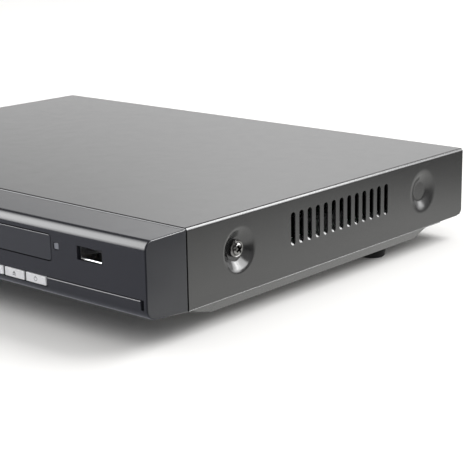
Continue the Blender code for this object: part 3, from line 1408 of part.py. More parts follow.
def make_loader_frame():
    left = LOADER_X - FRAME_HALF_WIDTH
    right = LOADER_X + FRAME_HALF_WIDTH
    floor_top = FRAME_LOW_Z + FRAME_FLOOR

    def block(bm):
        prism(bm, "Z", rectangle(left, right, FRAME_FRONT_Y, FRAME_REAR_Y),
              FRAME_LOW_Z, FRAME_HIGH_Z)

    inside_left = left + FRAME_WALL
    inside_right = right - FRAME_WALL
    front = FRAME_FRONT_Y + FRAME_WALL
    rear = FRAME_REAR_Y - FRAME_WALL

    def tray_channel(bm):
        ledge_left = inside_left + FRAME_LEDGE_WIDTH
        ledge_right = inside_right - FRAME_LEDGE_WIDTH
        ledge_top = TRAY_LOW_Z - GAP
        ledge_low = ledge_top - FRAME_LEDGE
        section = [
            (inside_left, ledge_top),
            (inside_left, FRAME_HIGH_Z + OVERRUN),
            (inside_right, FRAME_HIGH_Z + OVERRUN),
            (inside_right, ledge_top),
            (ledge_right, ledge_top),
            (ledge_right, ledge_low),
            (inside_right, ledge_low),
            (inside_right, FRAME_DECK_Z),
            (inside_left, FRAME_DECK_Z),
            (inside_left, ledge_low),
            (ledge_left, ledge_low),
            (ledge_left, ledge_top),
        ]
        prism(bm, "Y", section, front, rear)

    def bays(bm):
        bay_rear = CROSS_WALL_Y - CROSS_WALL
        prism(bm, "Z", rectangle(inside_left, inside_right, front, bay_rear),
              floor_top, FRAME_DECK_Z - FRAME_DECK)
        prism(bm, "Z", rectangle(inside_left, inside_right, CROSS_WALL_Y, rear),
              floor_top, FRAME_DECK_Z + OVERRUN / 2.0)

    def mouth(bm):
        low = FRAME_FRONT_WALL_Z
        prism(bm, "Y", rectangle(left - OVERRUN, right + OVERRUN, low, FRAME_HIGH_Z + OVERRUN),
              FRAME_FRONT_Y - OVERRUN, FRAME_FRONT_Y + FRAME_WALL + OVERRUN / 2.0)

    def nose_relief(bm):
        outline = rectangle(
            FRAME_FRONT_Y - OVERRUN, PAN_FRONT_Y + EMBOSS_FRONT_RAMP + OVERRUN,
            FRAME_LOW_Z - OVERRUN, FASCIA_FLOOR_Z + GAP,
        )
        prism(bm, "X", outline, left - OVERRUN, right + OVERRUN)

    def windows(bm):
        under = FRAME_LOW_Z - OVERRUN
        outline = rounded(
            LOADER_X - FRAME_WINDOW_HALF, LOADER_X + FRAME_WINDOW_HALF,
            TRAVERSE_FRONT_Y - OVERRUN, FRAME_WINDOW_END_Y, TRAVERSE_CORNER, SLOT_STEPS,
        )
        prism(bm, "Z", outline, under, floor_top + OVERRUN)
        motor_at = (LOADER_X + MOTOR_OFFSET, MOTOR_Y)
        cylinder(bm, "Z", motor_at, MOTOR_PULLEY_RADIUS, floor_top + OVERRUN,
                 FRAME_DECK_Z + OVERRUN, ROUND_STEPS)
        cylinder(bm, "Z", motor_at, MOTOR_RADIUS + GAP, under, floor_top + OVERRUN / 2.0,
                 SCREW_STEPS)

    def gear_pins(bm):
        root = FRAME_DECK_Z - FRAME_DECK / 2.0
        pins = (
            (drive_place(), TRAY_LOW_Z - GAP * 2.0),
            (pulley_place(), PULLEY_LOW_Z + GEAR_THICKNESS),
        )
        for place, top in pins:
            cylinder(bm, "Z", place, PIN_RADIUS, root, top, ROUND_STEPS)

    def hinge_ears(bm):
        half = EAR_REACH
        for side in (-1.0, 1.0):
            near = LOADER_X + side * (TRAVERSE_HALF + GAP)
            far = near + side * EAR_WIDTH
            outline = [
                (HINGE_Y - half, floor_top - FRAME_FLOOR / 2.0),
                (FRAME_REAR_Y - FRAME_WALL / 2.0, floor_top - FRAME_FLOOR / 2.0),
                (FRAME_REAR_Y - FRAME_WALL / 2.0, HINGE_Z),
            ]
            outline += arc((HINGE_Y, HINGE_Z), half, QUARTER, 2.0 * QUARTER, EAR_STEPS)
            prism(bm, "X", outline, min(near, far), max(near, far))

    def ear_bores(bm):
        for side in (-1.0, 1.0):
            near = LOADER_X + side * TRAVERSE_HALF
            far = near + side * (EAR_WIDTH + OVERRUN)
            cylinder(bm, "X", (HINGE_Y, HINGE_Z), HINGE_PIN_RADIUS + GAP, min(near, far),
                     max(near, far), ROUND_STEPS)

    frame = piece("loader_frame", BLACK_PLASTIC, block)
    cut(frame, "tray_channel", tray_channel)
    cut(frame, "bays", bays)
    cut(frame, "mouth", mouth)
    cut(frame, "nose_relief", nose_relief)
    cut(frame, "windows", windows)
    join(frame, "gear_pins", gear_pins)
    join(frame, "hinge_ears", hinge_ears)
    cut(frame, "ear_bores", ear_bores)


def drive_place():
    return (LOADER_X - DRIVE_OFFSET, DRIVE_Y)


def pulley_place():
    spread = MODULE * (DRIVE_TEETH + PULLEY_TEETH) / 2.0
    x, y = drive_place()
    return (x + spread * math.cos(PULLEY_BEARING), y + spread * math.sin(PULLEY_BEARING))


def involute(angle):
    return math.tan(angle) - angle


def gear_outline(teeth, centre, first_tooth):
    """Stub involute teeth; a small gear's flanks bend enough to need a corner at mid height."""
    pitch_radius = MODULE * teeth / 2.0
    base_radius = pitch_radius * math.cos(PRESSURE_ANGLE)
    radii = [pitch_radius - MODULE * DEDENDUM_SHARE, pitch_radius + MODULE * ADDENDUM_SHARE]
    if teeth < STRAIGHT_FLANK_TEETH:
        radii.insert(1, pitch_radius)
    half_at_pitch = (math.pi / teeth - BACKLASH / pitch_radius) / 2.0
    flank = []
    for radius in radii:
        slope = math.acos(min(1.0, base_radius / max(radius, base_radius)))
        flank.append((radius, half_at_pitch + involute(PRESSURE_ANGLE) - involute(slope)))
    points = []
    for k in range(teeth):
        middle = first_tooth + TURN * k / teeth
        for radius, half in flank:
            points.append((centre[0] + radius * math.cos(middle - half),
                           centre[1] + radius * math.sin(middle - half)))
        for radius, half in reversed(flank):
            points.append((centre[0] + radius * math.cos(middle + half),
                           centre[1] + radius * math.sin(middle + half)))
    return points


def rack_pitch_x():
    return drive_place()[0] - MODULE * PINION_TEETH / 2.0


def rack_outline():
    """Straight-flanked teeth on the right side of a bar that runs along Y."""
    pitch = math.pi * MODULE
    count = int(RACK_LENGTH / pitch)
    tip = MODULE * ADDENDUM_SHARE
    root = MODULE * DEDENDUM_SHARE
    slope = math.tan(PRESSURE_ANGLE)
    half = (pitch / 2.0 - BACKLASH) / 2.0
    x = rack_pitch_x()
    start = DRIVE_Y - RACK_LEAD
    first = DRIVE_Y + pitch / 2.0 - pitch * math.floor(RACK_LEAD / pitch)
    back = x - root - RACK_BACK
    points = [(back, start), (x - root, start)]
    for k in range(count):
        middle = first + k * pitch
        if middle - half - root * slope > start:
            points += [
                (x - root, middle - half - root * slope),
                (x + tip, middle - half + tip * slope),
                (x + tip, middle + half - tip * slope),
                (x - root, middle + half + root * slope),
            ]
    end = points[-1][1] + half
    points += [(x - root, end), (back, end)]
    return points


def make_disc_tray():
    left = LOADER_X - TRAY_HALF_WIDTH
    right = LOADER_X + TRAY_HALF_WIDTH

    def slab(bm):
        outline = rounded(left, right, TRAY_FRONT_Y, TRAY_REAR_Y, TRAY_CORNER, CORNER_STEPS)
        prism(bm, "Z", outline, TRAY_LOW_Z, TRAY_RIM_Z)

    def recesses(bm):
        play = DISC_PLAY
        centre = (LOADER_X, SPINDLE_Y)
        profile = [
            (0.0, SMALL_FLOOR_Z),
            (SMALL_DISC_RADIUS + play, SMALL_FLOOR_Z),
            (SMALL_DISC_RADIUS + play + RECESS_DRAFT, DISC_FLOOR_Z),
            (DISC_RADIUS + play, DISC_FLOOR_Z),
            (DISC_RADIUS + play + RIM_DRAFT, TRAY_RIM_Z),
            (DISC_RADIUS + play + RIM_DRAFT, TRAY_RIM_Z + OVERRUN),
            (0.0, TRAY_RIM_Z + OVERRUN),
        ]
        turned(bm, "Z", centre, profile, RECESS_STEPS)

    def finger_dips(bm):
        reach = (DISC_RADIUS + DISC_PLAY) / math.sqrt(2.0)
        for side in (-1.0, 1.0):
            place = (LOADER_X + side * reach, SPINDLE_Y + reach)
            cylinder(bm, "Z", place, FINGER_RADIUS, DISC_FLOOR_Z - GAP, TRAY_RIM_Z + OVERRUN,
                     SCREW_STEPS)

    def slot(bm):
        low = TRAY_LOW_Z - OVERRUN
        high = TRAY_RIM_Z + OVERRUN * 2.0
        outline = [(LOADER_X + SLOT_HALF, TRAY_REAR_Y + OVERRUN),
                   (LOADER_X - SLOT_HALF, TRAY_REAR_Y + OVERRUN)]
        outline += [(LOADER_X + SLOT_HALF * math.cos(a),
                     SPINDLE_Y + SLOT_HALF * math.sin(a))
                    for a in stations(TURN / 2.0, TURN, HOLE_STEPS)]
        prism(bm, "Z", outline, low, high)

    def side_notches(bm):
        """A long notch along each side, between the runner below it and the rim above it."""
        for side in (-1.0, 1.0):
            near = LOADER_X + side * TRAY_HALF_WIDTH
            far = near - side * TRAY_SIDE_STEP
            outline = rectangle(min(near + side * OVERRUN, far), max(near + side * OVERRUN, far),
                                TRAY_LOW_Z + FRAME_LEDGE, TRAY_SIDE_LOW_Z)
            prism(bm, "Y", outline, TRAY_FRONT_Y + TRAY_SIDE_SETBACK, TRAY_REAR_Y + OVERRUN)

    def rack(bm):
        prism(bm, "Z", rack_outline(), PINION_LOW_Z, TRAY_LOW_Z + GAP)

    tray = piece("disc_tray", BLACK_PLASTIC, slab)
    cut(tray, "recesses", recesses)
    cut(tray, "finger_dips", finger_dips)
    cut(tray, "slot", slot)
    cut(tray, "side_notches", side_notches)
    join(tray, "rack", rack)


def make_gear_train():
    drive_at = drive_place()
    pulley_at = pulley_place()
    drive_top = PINION_LOW_Z + GEAR_THICKNESS - GAP

    def at(place):
        return (place[0], place[1], 0.0)

    def big_gear(bm):
        outline = gear_outline(DRIVE_TEETH, drive_at, PULLEY_BEARING)
        prism(bm, "Z", outline, GEAR_LOW_Z, GEAR_HIGH_Z)

    def pinion(bm):
        outline = gear_outline(PINION_TEETH, drive_at, TURN / 2.0)
        prism(bm, "Z", outline, PINION_LOW_Z, drive_top)

    def hub(bm):
        cylinder(bm, "Z", drive_at, HUB_RADIUS, GEAR_HIGH_Z - OVERRUN,
                 PINION_LOW_Z + OVERRUN, ROUND_STEPS)

    def bore(bm):
        cylinder(bm, "Z", drive_at, PIN_RADIUS + GAP, GEAR_LOW_Z - OVERRUN,
                 drive_top + OVERRUN, ROUND_STEPS)

    gear = piece("drive_gear", NATURAL_PLASTIC, big_gear, at(drive_at))
    join(gear, "hub", hub)
    join(gear, "pinion", pinion)
    cut(gear, "bore", bore)

    groove_low = BELT_Z - GROOVE_WIDTH / 2.0
    groove_high = BELT_Z + GROOVE_WIDTH / 2.0

    def grooved(bm, centre, radius, low, high, steps):
        profile = [
            (0.0, low),
            (radius, low),
            (radius, groove_low),
            (radius - GROOVE_DEPTH, groove_low + GROOVE_FLARE),
            (radius - GROOVE_DEPTH, groove_high - GROOVE_FLARE),
            (radius, groove_high),
            (radius, high),
            (0.0, high),
        ]
        turned(bm, "Z", centre, profile, steps)

    def pulley(bm):
        grooved(bm, pulley_at, PULLEY_RADIUS, PULLEY_LOW_Z,
                PULLEY_LOW_Z + PULLEY_THICKNESS, PULLEY_STEPS)

    def small_gear(bm):
        step = TURN / PULLEY_TEETH
        outline = gear_outline(PULLEY_TEETH, pulley_at, PULLEY_BEARING + TURN / 2.0 + step / 2.0)
        prism(bm, "Z", outline, GEAR_LOW_Z, PULLEY_LOW_Z + GAP)

    def pulley_bore(bm):
        cylinder(bm, "Z", pulley_at, PIN_RADIUS + GAP, GEAR_LOW_Z - OVERRUN,
                 PULLEY_LOW_Z + PULLEY_THICKNESS + OVERRUN, ROUND_STEPS)

    wheel = piece("pulley_gear", NATURAL_PLASTIC, pulley, at(pulley_at))
    join(wheel, "small_gear", small_gear)
    cut(wheel, "bore", pulley_bore)

    motor_at = (LOADER_X + MOTOR_OFFSET, MOTOR_Y)

    def motor_pulley(bm):
        grooved(bm, motor_at, MOTOR_PULLEY_RADIUS, PULLEY_LOW_Z - GAP,
                PULLEY_LOW_Z + PULLEY_THICKNESS, SCREW_STEPS)

    def motor_bore(bm):
        cylinder(bm, "Z", motor_at, MOTOR_SHAFT_RADIUS + GAP, PULLEY_LOW_Z - OVERRUN,
                 PULLEY_LOW_Z + PULLEY_THICKNESS + OVERRUN, ROUND_STEPS)

    small = piece("motor_pulley", BRIGHT_STEEL, motor_pulley, at(motor_at))
    cut(small, "bore", motor_bore)

    def motor(bm):
        top = FRAME_DECK_Z - FRAME_DECK - GAP
        tip = PULLEY_LOW_Z + PULLEY_THICKNESS
        profile = [
            (0.0, MOTOR_LOW_Z),
            (MOTOR_RADIUS - MOTOR_EDGE, MOTOR_LOW_Z),
            (MOTOR_RADIUS, MOTOR_LOW_Z + MOTOR_EDGE),
            (MOTOR_RADIUS, top),
            (MOTOR_BOSS_RADIUS, top),
            (MOTOR_BOSS_RADIUS, top + FRAME_DECK),
            (MOTOR_SHAFT_RADIUS, top + FRAME_DECK),
            (MOTOR_SHAFT_RADIUS, tip),
            (0.0, tip),
        ]
        turned(bm, "Z", motor_at, profile, SCREW_STEPS)

    piece("tray_motor", ALUMINIUM, motor)
    make_belt(pulley_at, motor_at)


def make_belt(pulley_at, motor_at):
    """A rubber loop in both grooves, straight between them."""
    inner_big = PULLEY_RADIUS - GROOVE_DEPTH + GAP
    inner_small = MOTOR_PULLEY_RADIUS - GROOVE_DEPTH + GAP
    run = Vector(motor_at) - Vector(pulley_at)
    bearing = math.atan2(run.y, run.x)
    wrap = math.acos((inner_big - inner_small) / run.length)

    def band(bm):
        path = []
        for k in range(BELT_STEPS + 1):
            angle = bearing + wrap + (TURN - 2.0 * wrap) * k / BELT_STEPS
            path.append((pulley_at, inner_big, angle))
        steps = BELT_STEPS // 2
        for k in range(steps + 1):
            angle = bearing - wrap + 2.0 * wrap * k / steps
            path.append((motor_at, inner_small, angle))
        rings = []
        for centre, radius, angle in path:
            ring = []
            for reach, z in ((0.0, -BELT_HEIGHT), (BELT_WIDTH, -BELT_HEIGHT),
                             (BELT_WIDTH, BELT_HEIGHT), (0.0, BELT_HEIGHT)):
                x = centre[0] + (radius + reach) * math.cos(angle)
                y = centre[1] + (radius + reach) * math.sin(angle)
                ring.append(in_space("Z", x, y, BELT_Z + z / 2.0))
            rings.append(ring)
        loft(bm, rings, closed=True)

    piece("drive_belt", BLACK_RUBBER, band)


def cam_drop(travel):
    """How far the cam pin sinks when the cam has moved by a given travel."""
    reach = HINGE_Y - (TRAVERSE_FRONT_Y - CAM_PIN_REACH + CAM_THICKNESS / 2.0)
    return reach * math.sin(TRAVERSE_DROP) * travel / CAM_TRAVEL


def make_traverse():
    pivot = (LOADER_X, HINGE_Y, HINGE_Z)

    def plate(bm):
        outline = rounded(LOADER_X - TRAVERSE_HALF, LOADER_X + TRAVERSE_HALF,
                          TRAVERSE_FRONT_Y, TRAVERSE_REAR_Y, TRAVERSE_CORNER, CORNER_STEPS)
        prism(bm, "Z", outline, TRAVERSE_Z, TRAVERSE_Z + TRAVERSE)

    def holes(bm):
        low = TRAVERSE_Z - OVERRUN
        high = TRAVERSE_Z + TRAVERSE + OVERRUN
        window = rounded(LOADER_X - PICKUP_WINDOW_HALF, LOADER_X + PICKUP_WINDOW_HALF,
                         PICKUP_WINDOW_FRONT_Y, PICKUP_WINDOW_REAR_Y, TRAVERSE_CORNER / 2.0, SLOT_STEPS)
        prism(bm, "Z", window, low, high)
        cylinder(bm, "Z", (LOADER_X, SPINDLE_Y), SPINDLE_BUSH_RADIUS + GAP, low, high,
                 SCREW_STEPS)
        x = LOADER_X + SCREW_AXIS_X
        rear = SLED_MOTOR_LENGTH + OVERRUN
        motor_front = ROD_REAR_Y + CLIP_LENGTH + GAP
        prism(bm, "Z", rectangle(x - SLED_MOTOR_RADIUS - GAP, x + SLED_MOTOR_RADIUS + OVERRUN,
                                 motor_front, motor_front + rear), low, high)

    def fittings(bm):
        front = TRAVERSE_FRONT_Y - CAM_PIN_REACH
        cylinder(bm, "Y", (LOADER_X, HINGE_Z), CAM_PIN_RADIUS, front,
                 TRAVERSE_FRONT_Y + OVERRUN, ROUND_STEPS)
        for side in (-1.0, 1.0):
            near = LOADER_X + side * (TRAVERSE_HALF - OVERRUN)
            far = LOADER_X + side * (TRAVERSE_HALF + GAP + EAR_WIDTH)
            cylinder(bm, "X", (HINGE_Y, HINGE_Z), HINGE_PIN_RADIUS, min(near, far),
                     max(near, far), ROUND_STEPS)
        for x, radius, half in rod_seats():
            for y in (ROD_FRONT_Y, ROD_REAR_Y):
                outline = [
                    (x - half, TRAVERSE_Z + TRAVERSE / 2.0),
                    (x + half, TRAVERSE_Z + TRAVERSE / 2.0),
                    (x + half, ROD_Z),
                    (x + radius + GAP, ROD_Z),
                ]
                outline += arc((x, ROD_Z), radius + GAP, 0.0, -TURN / 2.0, ARC_STEPS)[1:-1]
                outline += [(x - radius - GAP, ROD_Z), (x - half, ROD_Z)]
                prism(bm, "Y", outline, y, y + CLIP_LENGTH)

    traverse = piece("traverse", BLACK_PLASTIC, plate, pivot)
    cut(traverse, "holes", holes)
    join(traverse, "fittings", fittings)


def rod_seats():
    """Place, radius and half width of each pair of clips: two guide rods and the lead screw."""
    return (
        (LOADER_X - ROD_X, ROD_RADIUS, CLIP_HALF_WIDTH),
        (LOADER_X + ROD_X, ROD_RADIUS, CLIP_HALF_WIDTH),
        (LOADER_X + SCREW_AXIS_X, LEAD_RADIUS, CLIP_HALF_WIDTH),
    )


def make_cam_slide():
    back = TRAVERSE_FRONT_Y - CAM_PIN_REACH + CAM_THICKNESS + GAP
    front = CROSS_WALL_Y + GAP

    def plate(bm):
        left = LOADER_X - CAM_LEFT
        right = LOADER_X + CAM_RIGHT
        outline = [
            (left, CAM_LOW_Z),
            (right, CAM_LOW_Z),
            (right, CAM_HIGH_Z),
            (left + CAM_TRAVEL / 2.0, CAM_HIGH_Z),
            (left, CAM_LOW_Z + (CAM_HIGH_Z - CAM_LOW_Z) / 2.0),
        ]
        prism(bm, "Y", outline, front, back)

    def slot(bm):
        radius = CAM_PIN_RADIUS + CAM_SLOT_PLAY
        drop = cam_drop(CAM_TRAVEL)
        slope = math.atan2(drop, CAM_TRAVEL)
        upper = (LOADER_X, HINGE_Z)
        lower = (LOADER_X - CAM_TRAVEL, HINGE_Z - drop)
        outline = arc(upper, radius, slope - QUARTER, slope + QUARTER, ARC_STEPS)
        outline += arc(lower, radius, slope + QUARTER, slope + 3.0 * QUARTER, ARC_STEPS)
        prism(bm, "Y", outline, front - OVERRUN, back + OVERRUN)

    cam = piece("cam_slide", WHITE_PLASTIC, plate, (LOADER_X, front, HINGE_Z))
    cut(cam, "slot", slot)


def make_spindle():
    centre = (LOADER_X, SPINDLE_Y)

    def motor(bm):
        top = TRAVERSE_Z - GAP
        bore = SPINDLE_SHAFT_RADIUS + GAP
        profile = [
            (0.0, SPINDLE_MOTOR_LOW_Z),
            (SPINDLE_MOTOR_RADIUS - MOTOR_EDGE, SPINDLE_MOTOR_LOW_Z),
            (SPINDLE_MOTOR_RADIUS, SPINDLE_MOTOR_LOW_Z + MOTOR_EDGE),
            (SPINDLE_MOTOR_RADIUS, top),
            (SPINDLE_BUSH_RADIUS, top),
            (SPINDLE_BUSH_RADIUS, SPINDLE_BUSH_Z),
            (bore, SPINDLE_BUSH_Z),
            (bore, top),
            (0.0, top),
        ]
        turned(bm, "Z", centre, profile, SCREW_STEPS)

    def table(bm):
        profile = [
            (0.0, TRAVERSE_Z),
            (SPINDLE_SHAFT_RADIUS, TRAVERSE_Z),
            (SPINDLE_SHAFT_RADIUS, SPINDLE_BUSH_Z + GAP),
            (SPINDLE_BUSH_RADIUS, SPINDLE_BUSH_Z + GAP),
            (SPINDLE_BUSH_RADIUS, DISC_PLANE_Z - TABLE_THICKNESS),
            (TABLE_RADIUS, DISC_PLANE_Z - TABLE_THICKNESS),
            (TABLE_RADIUS, DISC_PLANE_Z),
            (HUB_CONE_RADIUS, DISC_PLANE_Z),
            (HUB_CONE_RADIUS, DISC_PLANE_Z + DISC_THICKNESS),
            (HUB_TOP_RADIUS, HUB_TOP_Z),
            (0.0, HUB_TOP_Z),
        ]
        turned(bm, "Z", centre, profile, FOOT_STEPS)

    piece("spindle_motor", ALUMINIUM, motor)
    piece("turntable", GREY_PLASTIC, table, (*centre, DISC_PLANE_Z))


def make_clamp():
    centre = (LOADER_X, SPINDLE_Y)
    flange_low = BRIDGE_Z + BRIDGE + GAP

    def bridge(bm):
        half = FRAME_HALF_WIDTH
        chain = [
            (LOADER_X - half, FRAME_HIGH_Z + GAP),
            (LOADER_X - half + FRAME_WALL, FRAME_HIGH_Z + GAP),
            (LOADER_X - half + FRAME_WALL, BRIDGE_Z),
            (LOADER_X + half - FRAME_WALL, BRIDGE_Z),
            (LOADER_X + half - FRAME_WALL, FRAME_HIGH_Z + GAP),
            (LOADER_X + half, FRAME_HIGH_Z + GAP),
            (LOADER_X + half, BRIDGE_Z + BRIDGE),
            (LOADER_X - half, BRIDGE_Z + BRIDGE),
        ]
        prism(bm, "Y", chain, SPINDLE_Y - BRIDGE_WIDTH / 2.0, SPINDLE_Y + BRIDGE_WIDTH / 2.0)

    def hole(bm):
        cylinder(bm, "Z", centre, BRIDGE_HOLE_RADIUS, BRIDGE_Z - OVERRUN,
                 BRIDGE_Z + BRIDGE + OVERRUN, FOOT_STEPS)

    def puck(bm):
        low = DISC_PLANE_Z + DISC_THICKNESS + GAP
        profile = [
            (0.0, CLAMP_RECESS_Z),
            (CLAMP_RECESS_RADIUS, CLAMP_RECESS_Z),
            (CLAMP_RECESS_RADIUS, low),
            (CLAMP_RADIUS, low),
            (CLAMP_RADIUS, flange_low),
            (CLAMP_FLANGE_RADIUS, flange_low),
            (CLAMP_FLANGE_RADIUS, flange_low + CLAMP_FLANGE),
            (0.0, flange_low + CLAMP_FLANGE),
        ]
        turned(bm, "Z", centre, profile, FOOT_STEPS)

    span = piece("clamp_bridge", ZINC_STEEL, bridge)
    cut(span, "hole", hole)
    piece("clamper", WHITE_PLASTIC, puck, (*centre, flange_low))


def make_pickup():
    def body(bm):
        low = PICKUP_LOW_Z
        half = PICKUP_HALF_WIDTH
        tower = PICKUP_TOWER_HALF
        slope = PICKUP_HIGH_Z - PICKUP_SHOULDER_Z
        nut = LOADER_X + SCREW_AXIS_X + NUT_HALF_WIDTH
        outline = [
            (LOADER_X - half, low),
            (nut, low),
            (nut, PICKUP_SHOULDER_Z),
            (LOADER_X + tower + slope, PICKUP_SHOULDER_Z),
            (LOADER_X + tower, PICKUP_HIGH_Z),
            (LOADER_X - tower, PICKUP_HIGH_Z),
            (LOADER_X - tower - slope, PICKUP_SHOULDER_Z),
            (LOADER_X - half, PICKUP_SHOULDER_Z),
        ]
        prism(bm, "Y", outline, PICKUP_Y - PICKUP_FRONT, PICKUP_Y + PICKUP_BACK)

    def bores(bm):
        front = PICKUP_Y - PICKUP_FRONT - OVERRUN
        back = PICKUP_Y + PICKUP_BACK + OVERRUN
        for x, radius, _ in rod_seats():
            cylinder(bm, "Y", (x, ROD_Z), radius + GAP, front, back, ROUND_STEPS)
        cylinder(bm, "Z", (LOADER_X, PICKUP_Y), LENS_HOLDER_RADIUS + GAP,
                 PICKUP_HIGH_Z - LENS_WELL_DEPTH, PICKUP_HIGH_Z + OVERRUN, SCREW_STEPS)
        cylinder(bm, "Z", (LOADER_X, SPINDLE_Y), TABLE_RADIUS + OVERRUN,
                 PICKUP_LOW_Z - OVERRUN, PICKUP_HIGH_Z + OVERRUN * 2.0, SCREW_STEPS)

    holder_top = LENS_TOP_Z - LENS_CROWN
    holder_low = holder_top - LENS_HOLDER_HEIGHT

    def holder(bm):
        profile = [
            (LENS_RADIUS + GAP, holder_low + LENS_CROWN),
            (LENS_RADIUS + GAP, holder_top),
            (LENS_HOLDER_RADIUS, holder_top),
            (LENS_HOLDER_RADIUS, holder_low),
            (LENS_RADIUS, holder_low),
            (LENS_RADIUS, holder_low + LENS_CROWN),
        ]
        turned(bm, "Z", (LOADER_X, PICKUP_Y), profile, SCREW_STEPS, closed=True)

    def glass(bm):
        low = holder_low + LENS_CROWN + GAP
        out_share, up_share = LENS_CROWN_SHARES
        profile = [
            (0.0, low),
            (LENS_RADIUS, low),
            (LENS_RADIUS, holder_top),
            (LENS_RADIUS * out_share, holder_top + LENS_CROWN * up_share),
            (0.0, LENS_TOP_Z),
        ]
        turned(bm, "Z", (LOADER_X, PICKUP_Y), profile, ROUND_STEPS)

    def lead_screw(bm):
        x = LOADER_X + SCREW_AXIS_X
        cylinder(bm, "Y", (x, ROD_Z), LEAD_RADIUS, ROD_FRONT_Y, ROD_REAR_Y + CLIP_LENGTH,
                 ROUND_STEPS)

    def sled_motor(bm):
        x = LOADER_X + SCREW_AXIS_X
        front = ROD_REAR_Y + CLIP_LENGTH + GAP
        profile = [
            (0.0, front),
            (SLED_MOTOR_RADIUS - SLED_MOTOR_EDGE, front),
            (SLED_MOTOR_RADIUS, front + SLED_MOTOR_EDGE),
            (SLED_MOTOR_RADIUS, front + SLED_MOTOR_LENGTH),
            (0.0, front + SLED_MOTOR_LENGTH),
        ]
        turned(bm, "Y", (x, ROD_Z), profile, SCREW_STEPS)

    for name, seat in zip(("guide_rod_left", "guide_rod_right"), rod_seats()):
        piece(name, BRIGHT_STEEL, lambda bm, x=seat[0], radius=seat[1]: cylinder(
            bm, "Y", (x, ROD_Z), radius, ROD_FRONT_Y, ROD_REAR_Y + CLIP_LENGTH, ROUND_STEPS))
    sled = piece("pickup", GREY_PLASTIC, body, (LOADER_X, PICKUP_Y, ROD_Z))
    cut(sled, "bores", bores)
    piece("lens_holder", BLACK_PLASTIC, holder, (LOADER_X, PICKUP_Y, holder_low))
    piece("objective_lens", LENS_GLASS, glass, (LOADER_X, PICKUP_Y, holder_low))
    piece("lead_screw", BRIGHT_STEEL, lead_screw, (LOADER_X + SCREW_AXIS_X, ROD_FRONT_Y, ROD_Z))
    piece("sled_motor", ALUMINIUM, sled_motor)


def drilled_board(name, look, outline, places):
    board = piece(name, look, lambda bm: prism(bm, "Z", outline, BOARD_Z, BOARD_Z + BOARD))

    def holes(bm):
        for place in places:
            cylinder(bm, "Z", place, SCREW_SHANK_RADIUS, BOARD_Z - OVERRUN,
                     BOARD_Z + BOARD + OVERRUN, POST_STEPS)

    cut(board, "holes", holes)
    return board


def comb(bm, low_x, high_x, front, base, depth, fin, count, low_z, high_z, upright):
    """A finned extrusion; upright fins run up from a base, or else back from it."""
    pitch = (high_x - low_x - fin) / (count - 1)
    start = low_z if upright else front
    outline = [(low_x, start), (high_x, start)]
    reach = high_z if upright else front + depth
    for k in reversed(range(count)):
        left = low_x + k * pitch
        outline += [(left + fin, reach), (left, reach)]
        if k > 0:
            outline += [(left, start + base), (left - pitch + fin, start + base)]
    if upright:
        prism(bm, "Y", outline, front, front + depth)
    else:
        prism(bm, "Z", outline, low_z, high_z)


def make_power_supply():
    top = BOARD_Z + BOARD + GAP
    outline = rectangle(PSU_LEFT_X, PSU_RIGHT_X, PSU_FRONT_Y, PSU_REAR_Y)
    places = board_post_places(PSU_LEFT_X, PSU_RIGHT_X, PSU_FRONT_Y, PSU_REAR_Y)
    board = drilled_board("power_board", BOARD_TAN, outline, places)

    def core(bm):
        width, _, height = TRANSFORMER_SIZE
        outline = rectangle(TRANSFORMER_X - width / 2.0, TRANSFORMER_X + width / 2.0,
                            top, top + height)
        half = TRANSFORMER_CORE / 2.0
        prism(bm, "Y", outline, TRANSFORMER_Y - half, TRANSFORMER_Y + half)

    def winding(bm):
        width, depth, height = TRANSFORMER_SIZE
        half = width / 2.0 - WINDING_INSET
        outline = rounded(
            TRANSFORMER_X - half, TRANSFORMER_X + half, top + WINDING_DROP,
            top + height - WINDING_DROP, WINDING_ROUNDING, CORNER_STEPS,
        )
        prism(bm, "Y", outline, TRANSFORMER_Y - depth / 2.0, TRANSFORMER_Y + depth / 2.0)

    def can(bm, place, radius, height, low):
        bead = CAPACITOR_BEAD
        profile = [
            (0.0, low),
            (radius - bead, low),
            (radius, top + bead),
            (radius, top + height - bead),
            (radius - bead, top + height),
            (0.0, top + height),
        ]
        turned(bm, "Z", place, profile, SCREW_STEPS)

    def small_cans(bm):
        for y in SMALL_CAPACITOR_PLACES:
            can(bm, (SMALL_CAPACITOR_X, y), SMALL_CAPACITOR_RADIUS, SMALL_CAPACITOR_HEIGHT,
                top - BOARD / 2.0)

    transformer = piece("transformer", BLACK_PLASTIC, core)
    join(transformer, "winding", winding)
    piece("mains_capacitor", BLACK_PLASTIC, lambda bm: can(
        bm, (CAPACITOR_X, CAPACITOR_Y), CAPACITOR_RADIUS, CAPACITOR_HEIGHT, top))
    join(board, "output_capacitors", small_cans)
    piece("power_heat_sink", ALUMINIUM, lambda bm: comb(
        bm, SINK_X - SINK_LENGTH / 2.0, SINK_X + SINK_LENGTH / 2.0, SINK_Y, SINK_BASE,
        SINK_DEPTH, SINK_FIN, SINK_FINS, top, top + SINK_HEIGHT, False))


